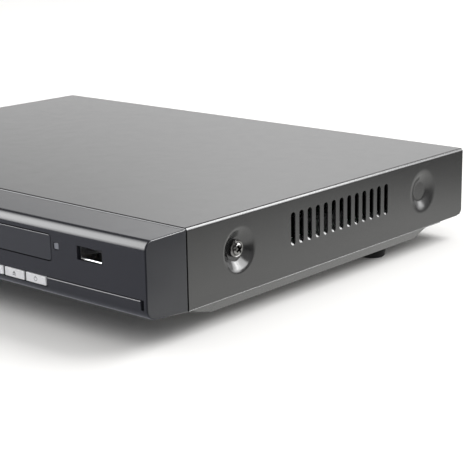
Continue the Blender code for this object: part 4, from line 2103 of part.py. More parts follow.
def make_main_board():
    outline = [
        (MAIN_LEFT_X, MAIN_INNER_Y),
        (MAIN_INNER_X, MAIN_INNER_Y),
        (MAIN_INNER_X, MAIN_FRONT_Y),
        (MAIN_RIGHT_X, MAIN_FRONT_Y),
        (MAIN_RIGHT_X, MAIN_REAR_Y),
        (MAIN_LEFT_X, MAIN_REAR_Y),
    ]
    drilled_board("main_board", BOARD_GREEN, outline, main_board_posts())
    top = BOARD_Z + BOARD + GAP
    half = CHIP_SIZE / 2.0
    piece("decoder_chip", BLACK_PLASTIC, lambda bm: prism(
        bm, "Z", rounded(CHIP_X - half, CHIP_X + half, CHIP_Y - half, CHIP_Y + half, GAP, 1),
        top, top + CHIP_HEIGHT))
    sink_low = top + CHIP_HEIGHT + GAP
    piece("chip_heat_sink", ALUMINIUM, lambda bm: comb(
        bm, CHIP_X - half, CHIP_X + half, CHIP_Y - half, CHIP_SINK_BASE, CHIP_SIZE,
        CHIP_SINK_FIN, CHIP_SINK_FINS, sink_low, sink_low + CHIP_SINK_HEIGHT, True))

    plug_front = RIBBON_BOARD_Y
    key_plug_back = KEY_BOARD_Y + BOARD + GAP + RIBBON_PLUG_HEIGHT
    key_z = KEY_BOARD_HIGH_Z - RIBBON_PLUG_LENGTH

    def main_plug(bm):
        half_width = RIBBON_WIDTH / 2.0 + RIBBON_PLUG_MARGIN
        outline = rectangle(RIBBON_X - half_width, RIBBON_X + half_width, plug_front,
                            plug_front + RIBBON_PLUG_LENGTH)
        prism(bm, "Z", outline, top, top + RIBBON_PLUG_HEIGHT)

    def key_plug(bm):
        half_width = RIBBON_WIDTH / 2.0 + RIBBON_PLUG_MARGIN
        outline = rectangle(RIBBON_X - half_width, RIBBON_X + half_width,
                            key_z - RIBBON_PLUG_LENGTH / 2.0, key_z + RIBBON_PLUG_LENGTH / 2.0)
        prism(bm, "Y", outline, KEY_BOARD_Y + BOARD + GAP, key_plug_back)

    def ribbon(bm):
        """A flat cable that arches over from the plug on the key board to the main board's."""
        start = Vector((key_plug_back + GAP, key_z))
        end = Vector((plug_front + RIBBON_PLUG_LENGTH / 2.0,
                      top + RIBBON_PLUG_HEIGHT + GAP))
        middle = (start + end) / 2.0 + Vector((0.0, RIBBON_HUMP))
        chain = []
        for share in stations(0.0, 1.0, RIBBON_STEPS):
            rest = 1.0 - share
            point = start * rest ** 2 + middle * 2.0 * rest * share + end * share ** 2
            chain.append(tuple(point))
        half_width = RIBBON_WIDTH / 2.0
        prism(bm, "X", sheet_outline(chain, RIBBON_THICKNESS), RIBBON_X - half_width,
              RIBBON_X + half_width)

    piece("ribbon_plug_main", WHITE_PLASTIC, main_plug)
    piece("ribbon_plug_keys", WHITE_PLASTIC, key_plug)
    piece("ribbon_cable", WHITE_PLASTIC, ribbon)


def main():
    make_top_cover()
    make_chassis_pan()
    make_rear_panel()
    make_feet()
    make_screws()
    make_fascia()
    make_trim()
    make_tray_door()
    make_buttons()
    make_key_board()
    make_usb_socket()
    make_rear_sockets()
    make_loader_frame()
    make_disc_tray()
    make_gear_train()
    make_traverse()
    make_cam_slide()
    make_spindle()
    make_clamp()
    make_pickup()
    make_power_supply()
    make_main_board()


main()
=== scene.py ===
"""Looks of the disc player: finer outer shells, materials, light and the photograph's camera."""
import math

import bmesh
import bpy
from mathutils import Matrix, Vector


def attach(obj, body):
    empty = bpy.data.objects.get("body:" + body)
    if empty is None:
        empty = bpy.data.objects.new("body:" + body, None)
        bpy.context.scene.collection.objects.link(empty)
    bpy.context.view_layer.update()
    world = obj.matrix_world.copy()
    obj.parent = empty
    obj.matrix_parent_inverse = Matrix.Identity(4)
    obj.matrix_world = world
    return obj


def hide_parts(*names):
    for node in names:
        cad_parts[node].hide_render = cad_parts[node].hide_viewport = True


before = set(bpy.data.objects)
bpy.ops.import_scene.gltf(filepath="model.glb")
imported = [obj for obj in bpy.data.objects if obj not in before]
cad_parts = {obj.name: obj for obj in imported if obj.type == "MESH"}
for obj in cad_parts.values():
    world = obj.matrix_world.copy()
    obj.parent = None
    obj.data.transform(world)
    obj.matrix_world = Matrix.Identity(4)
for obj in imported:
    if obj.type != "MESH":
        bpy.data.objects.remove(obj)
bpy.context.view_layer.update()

# Lengths are in millimetres; x starts at the middle, y at the seam between cover and fascia
MM = 0.001
SEAM_Y = -94.94067
TO_ROW = Matrix.Scale(MM, 4) @ Matrix.Translation((0.0, SEAM_Y, 0.0))
TURN = 2.0 * math.pi
QUARTER = TURN / 4.0
SHARP = math.radians(32.0)
SAME_POINT = 1e-4
OVER = 1.0
GAP = 0.3

CASE_HALF, CASE_TOP = 155.0, 48.0
COVER_DEPTH = 211.0
COVER_EDGE = 11.6
SHEET = 0.8


# Shapes

def flat(axis, a, b, along):
    """A point of an outline that lies across the axis, at a place along it."""
    return {"X": (along, a, b), "Y": (a, along, b), "Z": (a, b, along)}[axis]


def arc(cx, cz, radius, start, end, steps):
    return [(cx + radius * math.cos(start + (end - start) * k / steps),
             cz + radius * math.sin(start + (end - start) * k / steps)) for k in range(steps + 1)]


def circle(cx, cz, radius, steps):
    return arc(cx, cz, radius, 0.0, TURN, steps)[:-1]


def box2(a0, a1, b0, b1):
    return [(a0, b0), (a1, b0), (a1, b1), (a0, b1)]


def rounded(a0, a1, b0, b1, radius, steps=6):
    """A rectangle with round corners; where two arcs meet, their common point is kept once."""
    points = []
    for quarter, (ca, cb) in enumerate(((a1 - radius, b1 - radius), (a0 + radius, b1 - radius),
                                        (a0 + radius, b0 + radius), (a1 - radius, b0 + radius))):
        for point in arc(ca, cb, radius, quarter * QUARTER, (quarter + 1) * QUARTER, steps):
            if not points or math.dist(point, points[-1]) > SAME_POINT:
                points.append(point)
    if math.dist(points[0], points[-1]) < SAME_POINT:
        points.pop()
    return points


def inset(points, distance):
    """Moves a closed anticlockwise outline inwards, with mitred corners."""
    moved = []
    for i, here in enumerate(points):
        before, after = Vector(points[i - 1]), Vector(points[(i + 1) % len(points)])
        here = Vector(here)
        runs = [(here - before).normalized(), (after - here).normalized()]
        sides = [Vector((-run.y, run.x)) for run in runs]
        mitre = (sides[0] + sides[1]).normalized()
        moved.append(tuple(here + mitre * (distance / mitre.dot(sides[0]))))
    return moved


def mirror_image(points):
    return [(-a, b) for a, b in reversed(points)]


def spread(low, high, count):
    return [low + (high - low) * k / count for k in range(count + 1)]


def loft(bm, rings):
    """Joins rings of equally many points and closes both ends."""
    rows = [[bm.verts.new(point) for point in ring] for ring in rings]
    for row, following in zip(rows, rows[1:]):
        for i in range(len(row)):
            j = (i + 1) % len(row)
            bm.faces.new((row[i], row[j], following[j], following[i]))
    bm.faces.new(list(reversed(rows[0])))
    bm.faces.new(rows[-1])


def prism(bm, axis, outline, low, high):
    loft(bm, [[flat(axis, a, b, at) for a, b in outline] for at in (low, high)])


def turned(bm, axis, centre, profile, steps):
    """Turns a profile of (radius, place along the axis) about a line through the centre."""
    columns = []
    for radius, along in profile:
        if radius == 0.0:
            columns.append([bm.verts.new(flat(axis, centre[0], centre[1], along))] * steps)
        else:
            columns.append([bm.verts.new(flat(axis, a, b, along))
                            for a, b in circle(centre[0], centre[1], radius, steps)])
    for inner, outer in zip(columns, columns[1:]):
        for k in range(steps):
            m = (k + 1) % steps
            corners = list(dict.fromkeys((inner[k], inner[m], outer[m], outer[k])))
            if len(corners) > 2:
                bm.faces.new(corners)


def mesh_object(name, build):
    bm = bmesh.new()
    build(bm)
    bmesh.ops.transform(bm, matrix=TO_ROW, verts=bm.verts)
    bmesh.ops.recalc_face_normals(bm, faces=bm.faces)
    mesh = bpy.data.meshes.new(name)
    bm.to_mesh(mesh)
    bm.free()
    made = bpy.data.objects.new(name, mesh)
    bpy.context.scene.collection.objects.link(made)
    return made


def solid(name, finish, build, steps=(), body="casing", stands_for=(), round_off=0.0):
    """One piece: a base shape, then Boolean steps, then rounded edges and clean shading."""
    made = mesh_object(name, build)
    tools = []
    for operation, tool_build in steps:
        tool = mesh_object(name + "_tool", tool_build)
        modifier = made.modifiers.new(operation, "BOOLEAN")
        modifier.operation, modifier.object, modifier.solver = operation, tool, "EXACT"
        tools.append(tool)
    if round_off:
        modifier = made.modifiers.new("round", "BEVEL")
        modifier.width, modifier.segments = round_off * MM, 3
        modifier.limit_method, modifier.angle_limit = "ANGLE", SHARP
        modifier.miter_outer = "MITER_ARC"
    if tools or round_off:
        evaluated = made.evaluated_get(bpy.context.evaluated_depsgraph_get())
        baked = bpy.data.meshes.new_from_object(evaluated)
        made.modifiers.clear()
        made.data = baked
    for tool in tools:
        bpy.data.objects.remove(tool, do_unlink=True)
    made.data.materials.clear()
    made.data.materials.append(finish)
    made.data.shade_smooth()
    made.data.set_sharp_from_angle(angle=SHARP)
    shading = made.modifiers.new("even_normals", "WEIGHTED_NORMAL")
    shading.keep_sharp = True
    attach(made, body)
    if stands_for:
        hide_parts(*stands_for)
    return made


# Materials

CLOUD_SCALE, RUB_SCALE = 45.0, 160.0
NOISE_MIDDLE = (0.3, 0.7)
GRAIN_DEPTH = 0.1


def look(name, colour, roughness, metallic=0.0, grain=0.0, grain_size=0.4, tint=0.05, wear=0.05,
         ior=1.5, coat=0.0):
    """Base colour with a slight cloudy tint, roughness that varies, and a fine grain."""
    made = bpy.data.materials.new(name)
    made.use_nodes = True
    nodes, links = made.node_tree.nodes, made.node_tree.links
    shader = nodes["Principled BSDF"]
    shader.inputs["Metallic"].default_value = metallic
    shader.inputs["IOR"].default_value = ior
    shader.inputs["Coat Weight"].default_value = coat
    place = nodes.new("ShaderNodeTexCoord")

    def noise(scale, detail):
        texture = nodes.new("ShaderNodeTexNoise")
        texture.inputs["Scale"].default_value = scale
        texture.inputs["Detail"].default_value = detail
        links.new(place.outputs["Object"], texture.inputs["Vector"])
        return texture.outputs["Fac"]

    def between(value, low, high):
        """Goes straight from low to high over the noise's middle range."""
        node = nodes.new("ShaderNodeMapRange")
        node.inputs["From Min"].default_value, node.inputs["From Max"].default_value = NOISE_MIDDLE
        node.inputs["To Min"].default_value, node.inputs["To Max"].default_value = low, high
        links.new(value, node.inputs["Value"])
        return node.outputs["Result"]

    tinted = nodes.new("ShaderNodeVectorMath")
    tinted.operation = "SCALE"
    tinted.inputs[0].default_value = colour
    links.new(between(noise(CLOUD_SCALE, 4.0), 1.0 - tint, 1.0 + tint), tinted.inputs["Scale"])
    links.new(tinted.outputs["Vector"], shader.inputs["Base Color"])
    links.new(between(noise(RUB_SCALE, 2.0), roughness - wear, roughness + wear),
              shader.inputs["Roughness"])
    if grain:
        bump = nodes.new("ShaderNodeBump")
        bump.inputs["Strength"].default_value = grain
        bump.inputs["Distance"].default_value = GRAIN_DEPTH * MM
        links.new(noise(1.0 / (grain_size * MM), 3.0), bump.inputs["Height"])
        links.new(bump.outputs["Normal"], shader.inputs["Normal"])
    return made


PAINT = look("fine_grey_paint", (0.018, 0.0183, 0.0185), 0.2, grain=0.12, grain_size=0.5, tint=0.01,
             wear=0.01, ior=1.8)
FRONT_PLASTIC = look("charcoal_plastic", (0.015, 0.016, 0.021), 0.18, grain=0.1, tint=0.02,
                     wear=0.02, ior=1.6)
DOOR_PLASTIC = look("door_plastic", (0.03, 0.0315, 0.037), 0.2, grain=0.1, tint=0.02, wear=0.02,
                    ior=1.6)
TRIM_PLASTIC = look("trim_plastic", (0.02, 0.021, 0.026), 0.22, grain=0.08, tint=0.02, wear=0.02,
                    ior=1.6)
WHITE_PLASTIC = look("button_white", (0.88, 0.885, 0.91), 0.3, grain=0.05, tint=0.015)
SIGN_GREY = look("sign_grey", (0.22, 0.225, 0.24), 0.5, grain=0.05)
BLACK_PLASTIC = look("black_plastic", (0.012, 0.012, 0.013), 0.45, grain=0.25)
RUBBER = look("black_rubber", (0.008, 0.008, 0.008), 0.75, grain=0.4, grain_size=0.7, ior=1.25)
ZINC = look("zinc_sheet", (0.5, 0.51, 0.52), 0.38, metallic=0.9, grain=0.15, grain_size=0.9,
            tint=0.08)
BRIGHT = look("bright_steel", (0.72, 0.72, 0.73), 0.22, metallic=1.0, grain=0.05)
SCREW_STEEL = look("dark_nickel", (0.26, 0.257, 0.25), 0.14, metallic=1.0, grain=0.05)
NATURAL = look("natural_acetal", (0.72, 0.71, 0.67), 0.42, grain=0.1)
GREY_PLASTIC = look("grey_plastic", (0.2, 0.2, 0.21), 0.45, grain=0.25)
CLEAR = look("clear_window", (0.23, 0.24, 0.27), 0.12, grain=0.05)
BOARD_GREEN = look("board_green", (0.03, 0.16, 0.07), 0.35, grain=0.2, grain_size=1.2, tint=0.2)
BOARD_TAN = look("board_tan", (0.42, 0.28, 0.12), 0.55, grain=0.2, grain_size=1.2, tint=0.15)
ALUMINIUM = look("aluminium", (0.68, 0.69, 0.7), 0.35, metallic=1.0, grain=0.15)
GLASS = look("lens_coating", (0.12, 0.16, 0.35), 0.06, coat=0.6)
CHIP_BLACK = look("moulded_chip", (0.02, 0.02, 0.021), 0.5, grain=0.3, grain_size=0.3)
WINDING = look("tape_yellow", (0.55, 0.42, 0.08), 0.4, grain=0.1, tint=0.1)
GOLD = look("gold_contact", (0.75, 0.55, 0.22), 0.25, metallic=1.0)
BELT_RUBBER = look("belt_rubber", (0.015, 0.015, 0.015), 0.6, grain=0.3)

# The solids of the part that no finer shell replaces
NODE_LOOKS = {
    PAINT: ("chassis_pan",),
    ZINC: ("clamp_bridge", "sled_motor", "tray_motor", "spindle_motor"),
    BRIGHT: ("guide_rod_left", "guide_rod_right", "lead_screw", "hdmi_socket"),
    BLACK_PLASTIC: ("rear_panel", "mains_inlet", "av_jacks", "disc_tray", "loader_frame",
                    "lens_holder", "ribbon_plug_main", "ribbon_plug_keys", "mains_capacitor",
                    "turntable"),
    NATURAL: ("drive_gear", "pulley_gear", "clamper", "cam_slide", "motor_pulley"),
    GREY_PLASTIC: ("traverse", "pickup"),
    WHITE_PLASTIC: ("ribbon_cable",),
    BOARD_GREEN: ("main_board",),
    BOARD_TAN: ("power_board", "key_board"),
    ALUMINIUM: ("chip_heat_sink", "power_heat_sink"),
    GLASS: ("objective_lens",),
    CHIP_BLACK: ("decoder_chip",),
    WINDING: ("transformer",),
    CLEAR: ("standby_led",),
    BELT_RUBBER: ("drive_belt",),
}
for finish, names in NODE_LOOKS.items():
    for name in names:
        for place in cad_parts[name].material_slots:
            place.material = finish


# Cover

BEND = 1.6
EDGE_ROUND, EDGE_BREAK = 0.2, 0.15
CREASE, CREASE_RISES = 0.1, (0.06, 0.22, 0.42)
FLANGE_INSET, FLANGE_HEIGHT = 4.0, 9.0
# Keeps the flange's face just inside the cover's rear edge
HAIR = 0.003

# Each dimple: its y, radius at rim and floor, depth, and the turns' shares at rim and floor
DIMPLES = ((32.4, 10.9, 5.0, 3.0, 0.34, 0.12), (173.6, 11.8, 4.4, 2.2, 0.6, 0.2))
DIMPLE_Z = 31.4
DIMPLE_RINGS = 20

SLOT_FIRST, SLOT_PITCH, SLOT_COUNT = 69.2, 6.02, 13
SLOTS = [SLOT_FIRST + SLOT_PITCH * k for k in range(SLOT_COUNT)]
SLOT_HALF = 1.6
SLOT_LOW, SLOT_HIGH = 25.6, 41.1
# The bent lip from the side: places from the wall's outer face and from the slot's lower end
SLOT_LIP = ((-0.7, -0.7), (-0.05, -0.7), (-0.05, 0.0), (-0.75, 0.85), (-1.5, 1.8), (-2.0, 2.5),
            (-2.4, 3.1), (-2.8, 2.7), (-2.2, 1.5), (-1.1, 0.1))
SLOT_LIP_OVERLAP = 0.15

STEP_Y, STEP_RISE = 190.7, 0.9
CORNER_LENGTH, CORNER_RISE = 1.8, 3.1

SCREW_HOLE = 1.9
SCREW_Y, SCREW_Z, SCREW_SEAT = DIMPLES[0][0], DIMPLE_Z + 0.4, CASE_HALF - DIMPLES[0][3]
REAR_SCREWS = (-133.3, 0.0, 133.3)
REAR_SCREW_Z = 43.4


def cover_section(crease):
    """The sheet's outline; a shallow crease runs along each lower edge."""
    low_x, low_z = CASE_HALF - EDGE_ROUND, COVER_EDGE + EDGE_ROUND
    outer = arc(low_x, low_z, EDGE_ROUND, -QUARTER, 0.0, 5)
    outer += [(CASE_HALF - depth, low_z + rise)
              for depth, rise in zip((0.0, crease, 0.0), CREASE_RISES)]
    outer += arc(CASE_HALF - BEND, CASE_TOP - BEND, BEND, 0.0, QUARTER, 10)
    x, z, turn = CASE_HALF - SHEET, CASE_TOP - SHEET, BEND - SHEET
    inner = [(x, COVER_EDGE)] + arc(x - turn, z - turn, turn, 0.0, QUARTER, 6)
    return outer + mirror_image(outer) + list(reversed(inner + mirror_image(inner)))


def dimple_slope(rim, floor, deep, rim_turn, floor_turn):
    """Radius and depth down a dimple's side, which turns smoothly at its rim and its floor."""
    slope = []
    full = 1.0 - (rim_turn + floor_turn) / 2.0
    for k in range(DIMPLE_RINGS + 1):
        share = k / DIMPLE_RINGS
        if share < rim_turn:
            depth = share * share / (2.0 * rim_turn)
        elif share < 1.0 - floor_turn:
            depth = share - rim_turn / 2.0
        else:
            depth = full - (1.0 - share) ** 2 / (2.0 * floor_turn)
        slope.append((rim + (floor - rim) * share, deep * depth / full))
    return slope


def dimples(bm, grow, mouth):
    """All four dimples as solids that start at the mouth's depth and are grown all round."""
    for side in (-1.0, 1.0):
        for y, rim, floor, deep, rim_turn, floor_turn in DIMPLES:
            profile = [(0.0, mouth)]
            if mouth < 0.0:
                profile.append((rim + grow, mouth))
            profile += [(radius + grow, depth + grow) for radius, depth in
                        dimple_slope(rim, floor, deep, rim_turn, floor_turn)]
            profile.append((0.0, deep + grow))
            turned(bm, "X", (y, DIMPLE_Z),
                   [(radius, side * (CASE_HALF - depth)) for radius, depth in profile], steps=56)


def cut_wall(bm, side, outline, face):
    """A cutting tool through a side wall whose outer face lies at the given distance."""
    ends = sorted((side * (face - SHEET - OVER), side * (face + OVER)))
    prism(bm, "X", outline, *ends)


def make_cover():
    def shell(bm):
        loft(bm, [[flat("Y", a, b, at) for a, b in ring] for ring, at in (
            (cover_section(CREASE), 0.0), (cover_section(CREASE), COVER_DEPTH - 3.0 * EDGE_BREAK),
            (cover_section(0.0), COVER_DEPTH - EDGE_BREAK),
            (inset(cover_section(0.0), EDGE_BREAK), COVER_DEPTH))])

    def rear_flange(bm):
        half = CASE_HALF - SHEET - FLANGE_INSET
        prism(bm, "Y", box2(-half, half, CASE_TOP - FLANGE_HEIGHT, CASE_TOP - SHEET / 2.0),
              COVER_DEPTH - SHEET, COVER_DEPTH - HAIR)

    def slots(bm):
        for side in (-1.0, 1.0):
            for y in SLOTS:
                cut_wall(bm, side, rounded(y - SLOT_HALF, y + SLOT_HALF, SLOT_LOW, SLOT_HIGH,
                                           SLOT_HALF, 8), CASE_HALF)

    def slot_lips(bm):
        """The lower end of each slot is bent inwards into a small sloping lip."""
        for side in (-1.0, 1.0):
            outline = [(side * (CASE_HALF + a), SLOT_LOW + b) for a, b in SLOT_LIP]
            for y in SLOTS:
                prism(bm, "Y", outline, y - SLOT_HALF - SLOT_LIP_OVERLAP,
                      y + SLOT_HALF + SLOT_LIP_OVERLAP)

    def edge_step(bm):
        """The lower edge rises near the rear, and its rear corner is cut."""
        low, rear = COVER_EDGE - OVER, COVER_DEPTH + OVER
        outline = [(STEP_Y, low), (rear, low), (rear, COVER_EDGE + CORNER_RISE),
                   (COVER_DEPTH, COVER_EDGE + CORNER_RISE),
                   (COVER_DEPTH - CORNER_LENGTH, COVER_EDGE + STEP_RISE),
                   (STEP_Y, COVER_EDGE + STEP_RISE)]
        prism(bm, "X", outline, -CASE_HALF - OVER, CASE_HALF + OVER)

    def holes(bm):
        for side in (-1.0, 1.0):
            cut_wall(bm, side, circle(SCREW_Y, SCREW_Z, SCREW_HOLE, 24), SCREW_SEAT)
        for x in REAR_SCREWS:
            prism(bm, "Y", circle(x, REAR_SCREW_Z, SCREW_HOLE, 24), COVER_DEPTH - SHEET - OVER,
                  COVER_DEPTH + OVER)

    solid("cover_shell", PAINT, shell, (
        ("UNION", rear_flange),
        ("UNION", lambda bm: dimples(bm, SHEET, SHEET / 2.0)),
        ("DIFFERENCE", lambda bm: dimples(bm, 0.0, -OVER)),
        ("DIFFERENCE", slots),
        ("UNION", slot_lips),
        ("DIFFERENCE", edge_step),
        ("DIFFERENCE", holes),
    ), stands_for=("top_cover",))


# Screws: points are radius and height, first from the seat, then from the lifted flange

HEAD_LIFT = 0.7
HEAD_FOOT = ((0.0, -6.0), (1.5, -6.0), (1.5, 0.0), (2.6, 0.0), (2.7, HEAD_LIFT - 0.1),
             (3.75, HEAD_LIFT))
HEAD_FLANGE = ((3.95, 0.12), (3.98, 0.35), (3.8, 0.6), (3.45, 0.66), (3.15, 0.5))
HEAD_DOME = ((2.95, 0.55), (2.9, 0.95), (2.65, 1.4), (2.15, 1.75), (1.4, 1.94), (0.7, 1.99),
             (0.0, 2.0))
# The cross at its top and its bottom: height, length of an arm, half of its width
CROSS = ((2.3, 1.95, 0.56), (-0.6, 1.6, 0.44))
CROSS_TURN = 0.5


def make_screw(name, axis, centre, seat, out):
    """A flanged pan head with a tapered cross recess, on a short shank."""
    def head(bm):
        profile = list(HEAD_FOOT)
        profile += [(radius, height + HEAD_LIFT) for radius, height in HEAD_FLANGE + HEAD_DOME]
        turned(bm, axis, centre, [(radius, seat + out * height) for radius, height in profile],
               steps=40)

    def cross(bm):
        rings = []
        for height, arm, half in CROSS:
            ring = []
            for k in range(4):
                angle = k * QUARTER + CROSS_TURN
                along = Vector((math.cos(angle), math.sin(angle)))
                aside = Vector((-along.y, along.x))
                ring += [along * arm - aside * half, along * arm + aside * half,
                         along * half + aside * half]
            rings.append([flat(axis, centre[0] + p.x, centre[1] + p.y,
                               seat + out * (HEAD_LIFT + height)) for p in ring])
        loft(bm, rings)

    solid(name + "_fine", SCREW_STEEL, head, (("DIFFERENCE", cross),), stands_for=(name,))


def make_screws():
    make_screw("side_screw_left", "X", (SCREW_Y, SCREW_Z), -SCREW_SEAT - GAP, -1.0)
    make_screw("side_screw_right", "X", (SCREW_Y, SCREW_Z), SCREW_SEAT + GAP, 1.0)
    for name, x in zip(("left", "middle", "right"), REAR_SCREWS):
        make_screw("rear_screw_" + name, "Y", (x, REAR_SCREW_Z), COVER_DEPTH + GAP, 1.0)


# Fascia and tray door

FRONT, BOW = 24.5, 3.08
WALL = 2.2
SEAM_GAP = 0.4
TOP_DROP, BOTTOM_RISE = 0.8, 1.7
TOP_RADIUS, BOTTOM_RADIUS = 4.2, 5.2
END_ROUND, REAR_ROUND = 0.7, 0.2
REAR_LIP, LIP_DROP, LIP_SINK = 0.35, 0.25, 0.2
INNER_LIP_REACH, INNER_LIP_WALL = 4.0, 1.5

# The door's left, right, low and high edges
DOOR = (-47.0, 99.0, 29.9, 41.4)
DOOR_THICK, DOOR_CORNER, DOOR_ROUND = 2.4, 1.5, 0.3
DOOR_SIDE_GAP, DOOR_TOP_GAP = 0.35, 0.5
RIB_SHARES = (-0.7, 0.0, 0.7)
RIB_HALF, RIB_LOW, RIB_HIGH = 3.0, 33.3, 40.0
RIB_SINK, RIB_BACK = 1.2, -23.5

BAR_LOW, BAR_HIGH = 18.0, 22.1
BAR_END, BAR_SLOT_END = 151.7, 153.3
BAR_PROUD, BAR_THICK, BAR_FOOT_PROUD = 0.42, 1.3, 0.05
BAR_SLOT_DEPTH, BAR_SLOT_UNDER = 1.6, 0.05
BAR_BUTTON_GAP, BAR_SLOT_BUTTON_GAP = 1.1, 0.7

# The right edge of each button, and its window's margins at the sides, below and above
BUTTONS = (("power", 95.0), ("eject", 80.8), ("stop", 66.6), ("play", 52.4))
BUTTON_WIDTH = 13.1
BUTTON_MARGINS = (0.45, 0.4, 0.35)
BUTTON_WINDOW_BACK = -20.0
FIRST_BUTTON, LAST_BUTTON = BUTTONS[0][1], BUTTONS[-1][1] - BUTTON_WIDTH

WINDOW_X, WINDOW_Z, WINDOW_HALF = 102.5, 37.0, 1.4
WINDOW_GAP, WINDOW_CORNER = 0.2, 0.4

# The USB opening: its reach to the left, to the right and up or down from the socket's middle
USB_X, USB_Z = 123.1, 36.4
USB_OPENING = (7.8, 7.4, 3.05)
USB_CORNER = 0.35


def bowed(x):
    """Where the front's bowed face lies at a place along its width."""
    return -(FRONT + BOW * (1.0 - (x / CASE_HALF) ** 2))


def bowed_ring(profile, x):
    stretch = bowed(x) / -FRONT
    return [(x, y * stretch if y < 0.0 else y, z) for y, z in profile]


def bowed_bar(bm, low, high, z0, z1, proud, depth, count):
    loft(bm, [[(x, y, z) for y, z in box2(bowed(x) - proud, bowed(x) + depth, z0, z1)]
              for x in spread(low, high, count)])


def side_profile(draw_in=0.0):
    """The fascia's outline from the side; towards each end it is drawn in a little."""
    top, bottom = CASE_TOP - TOP_DROP, COVER_EDGE + BOTTOM_RISE
    rear, crown = -SEAM_GAP - REAR_ROUND - draw_in, CASE_TOP - LIP_SINK - draw_in
    points = arc(rear, crown - REAR_ROUND, REAR_ROUND, 0.0, QUARTER, 4)
    points += [(rear - REAR_LIP, crown), (rear - REAR_LIP - LIP_DROP, crown - LIP_DROP)]
    points += arc(TOP_RADIUS - FRONT, top - TOP_RADIUS, TOP_RADIUS - draw_in,
                  QUARTER, 2.0 * QUARTER, 14)
    points += arc(BOTTOM_RADIUS - FRONT, bottom + BOTTOM_RADIUS, BOTTOM_RADIUS - draw_in,
                  2.0 * QUARTER, 3.0 * QUARTER, 12)
    points.append((-SEAM_GAP - draw_in, COVER_EDGE + draw_in))
    return points


def make_fascia():
    lip_half, lip_top = CASE_HALF - SHEET - GAP, CASE_TOP - SHEET - GAP

    def body(bm):
        end_rings = []
        for k in range(4):
            angle = QUARTER * k / 3.0
            drawn = END_ROUND * (1.0 - math.sin(angle))
            end_rings.append((side_profile(drawn), CASE_HALF - END_ROUND * (1.0 - math.cos(angle))))
        places = spread(-CASE_HALF + END_ROUND, CASE_HALF - END_ROUND, 60)[1:-1]
        rings = [(profile, -x) for profile, x in end_rings]
        rings += [(side_profile(), x) for x in places]
        rings += list(reversed(end_rings))
        loft(bm, [bowed_ring(profile, x) for profile, x in rings])

    def inner_lip(bm):
        prism(bm, "Y", box2(-lip_half, lip_half, COVER_EDGE, lip_top), -SEAM_GAP - OVER,
              INNER_LIP_REACH)

    def cavity(bm):
        half, top = lip_half - INNER_LIP_WALL, lip_top - INNER_LIP_WALL
        low, rear = COVER_EDGE + BOTTOM_RISE + WALL, INNER_LIP_REACH + OVER
        front, chamfer = WALL - FRONT, TOP_RADIUS - WALL
        profile = [(rear, top), (front + chamfer, top), (front, top - chamfer),
                   (front, low + chamfer), (front + chamfer, low), (rear, low)]
        loft(bm, [bowed_ring(profile, x) for x in spread(-half, half, 30)])

    def openings(bm):
        x0, x1, z0, z1 = DOOR
        door = rounded(x0 - DOOR_SIDE_GAP, x1 + DOOR_SIDE_GAP, z0 - DOOR_SIDE_GAP,
                       z1 + DOOR_TOP_GAP, DOOR_CORNER + DOOR_SIDE_GAP)
        left, right, high = USB_OPENING
        usb = rounded(USB_X - left, USB_X + right, USB_Z - high, USB_Z + high, USB_CORNER, 3)
        half = WINDOW_HALF + WINDOW_GAP
        window = rounded(WINDOW_X - half, WINDOW_X + half, WINDOW_Z - half, WINDOW_Z + half,
                         WINDOW_CORNER, 3)
        for outline in (door, usb, window):
            prism(bm, "Y", outline, -FRONT - BOW - OVER, WALL - FRONT + OVER)

    def bar_slot(bm):
        for low, high in ((-BAR_SLOT_END, LAST_BUTTON - BAR_SLOT_BUTTON_GAP),
                          (FIRST_BUTTON + BAR_SLOT_BUTTON_GAP, BAR_SLOT_END)):
            bowed_bar(bm, low, high, BAR_LOW - BAR_SLOT_UNDER, BAR_HIGH + GAP, OVER,
                      BAR_SLOT_DEPTH, 30)

    def button_windows(bm):
        side, below, above = BUTTON_MARGINS
        for _, right in BUTTONS:
            prism(bm, "Y", box2(right - BUTTON_WIDTH - side, right + side, BAR_LOW - below,
                                BAR_HIGH + above), -FRONT - BOW - OVER, BUTTON_WINDOW_BACK)

    solid("fascia_shell", FRONT_PLASTIC, body, (
        ("UNION", inner_lip), ("DIFFERENCE", cavity), ("DIFFERENCE", openings),
        ("DIFFERENCE", bar_slot), ("DIFFERENCE", button_windows),
    ), stands_for=("fascia",))


def make_door():
    x0, x1, z0, z1 = DOOR

    def slab(bm):
        bowed_bar(bm, x0 - OVER, x1 + OVER, z0 - OVER, z1 + OVER, 0.0, DOOR_THICK, 60)

    def keep(bm):
        prism(bm, "Y", rounded(x0, x1, z0, z1, DOOR_CORNER), -FRONT - BOW - OVER, 0.0)

    def ribs(bm):
        for share in RIB_SHARES:
            x = (x0 + x1) / 2.0 + (x1 - x0) / 2.0 * share
            prism(bm, "Y", box2(x - RIB_HALF, x + RIB_HALF, RIB_LOW, RIB_HIGH),
                  bowed(x) + RIB_SINK, RIB_BACK)

    solid("door_shell", DOOR_PLASTIC, slab, (("INTERSECT", keep), ("UNION", ribs)), body="tray",
          stands_for=("tray_door",), round_off=DOOR_ROUND)


# Trim bars and buttons

BUTTON_SINK = 0.35
CAP_SIDE_GAPS = (0.15, 0.2)
CAP_CORNER = 0.25
# How far the cap's outline is drawn in, and how far behind its face that is
CAP_RINGS = ((0.3, 0.0), (0.1, 0.09), (0.0, 0.3), (0.0, 3.6))
STEM_HALF, STEM_SINK, STEM_BACK = 1.6, 1.8, -18.6
PLUNGER_FRONT, PLUNGER_BACK = -19.6, -17.0
SIGN_PROUD, SIGN_BACK = -0.012, 0.1
SIGN_LINE = 0.13
RING_RADIUS = 0.95
RING_START, RING_END = 1.15 * QUARTER, 4.85 * QUARTER


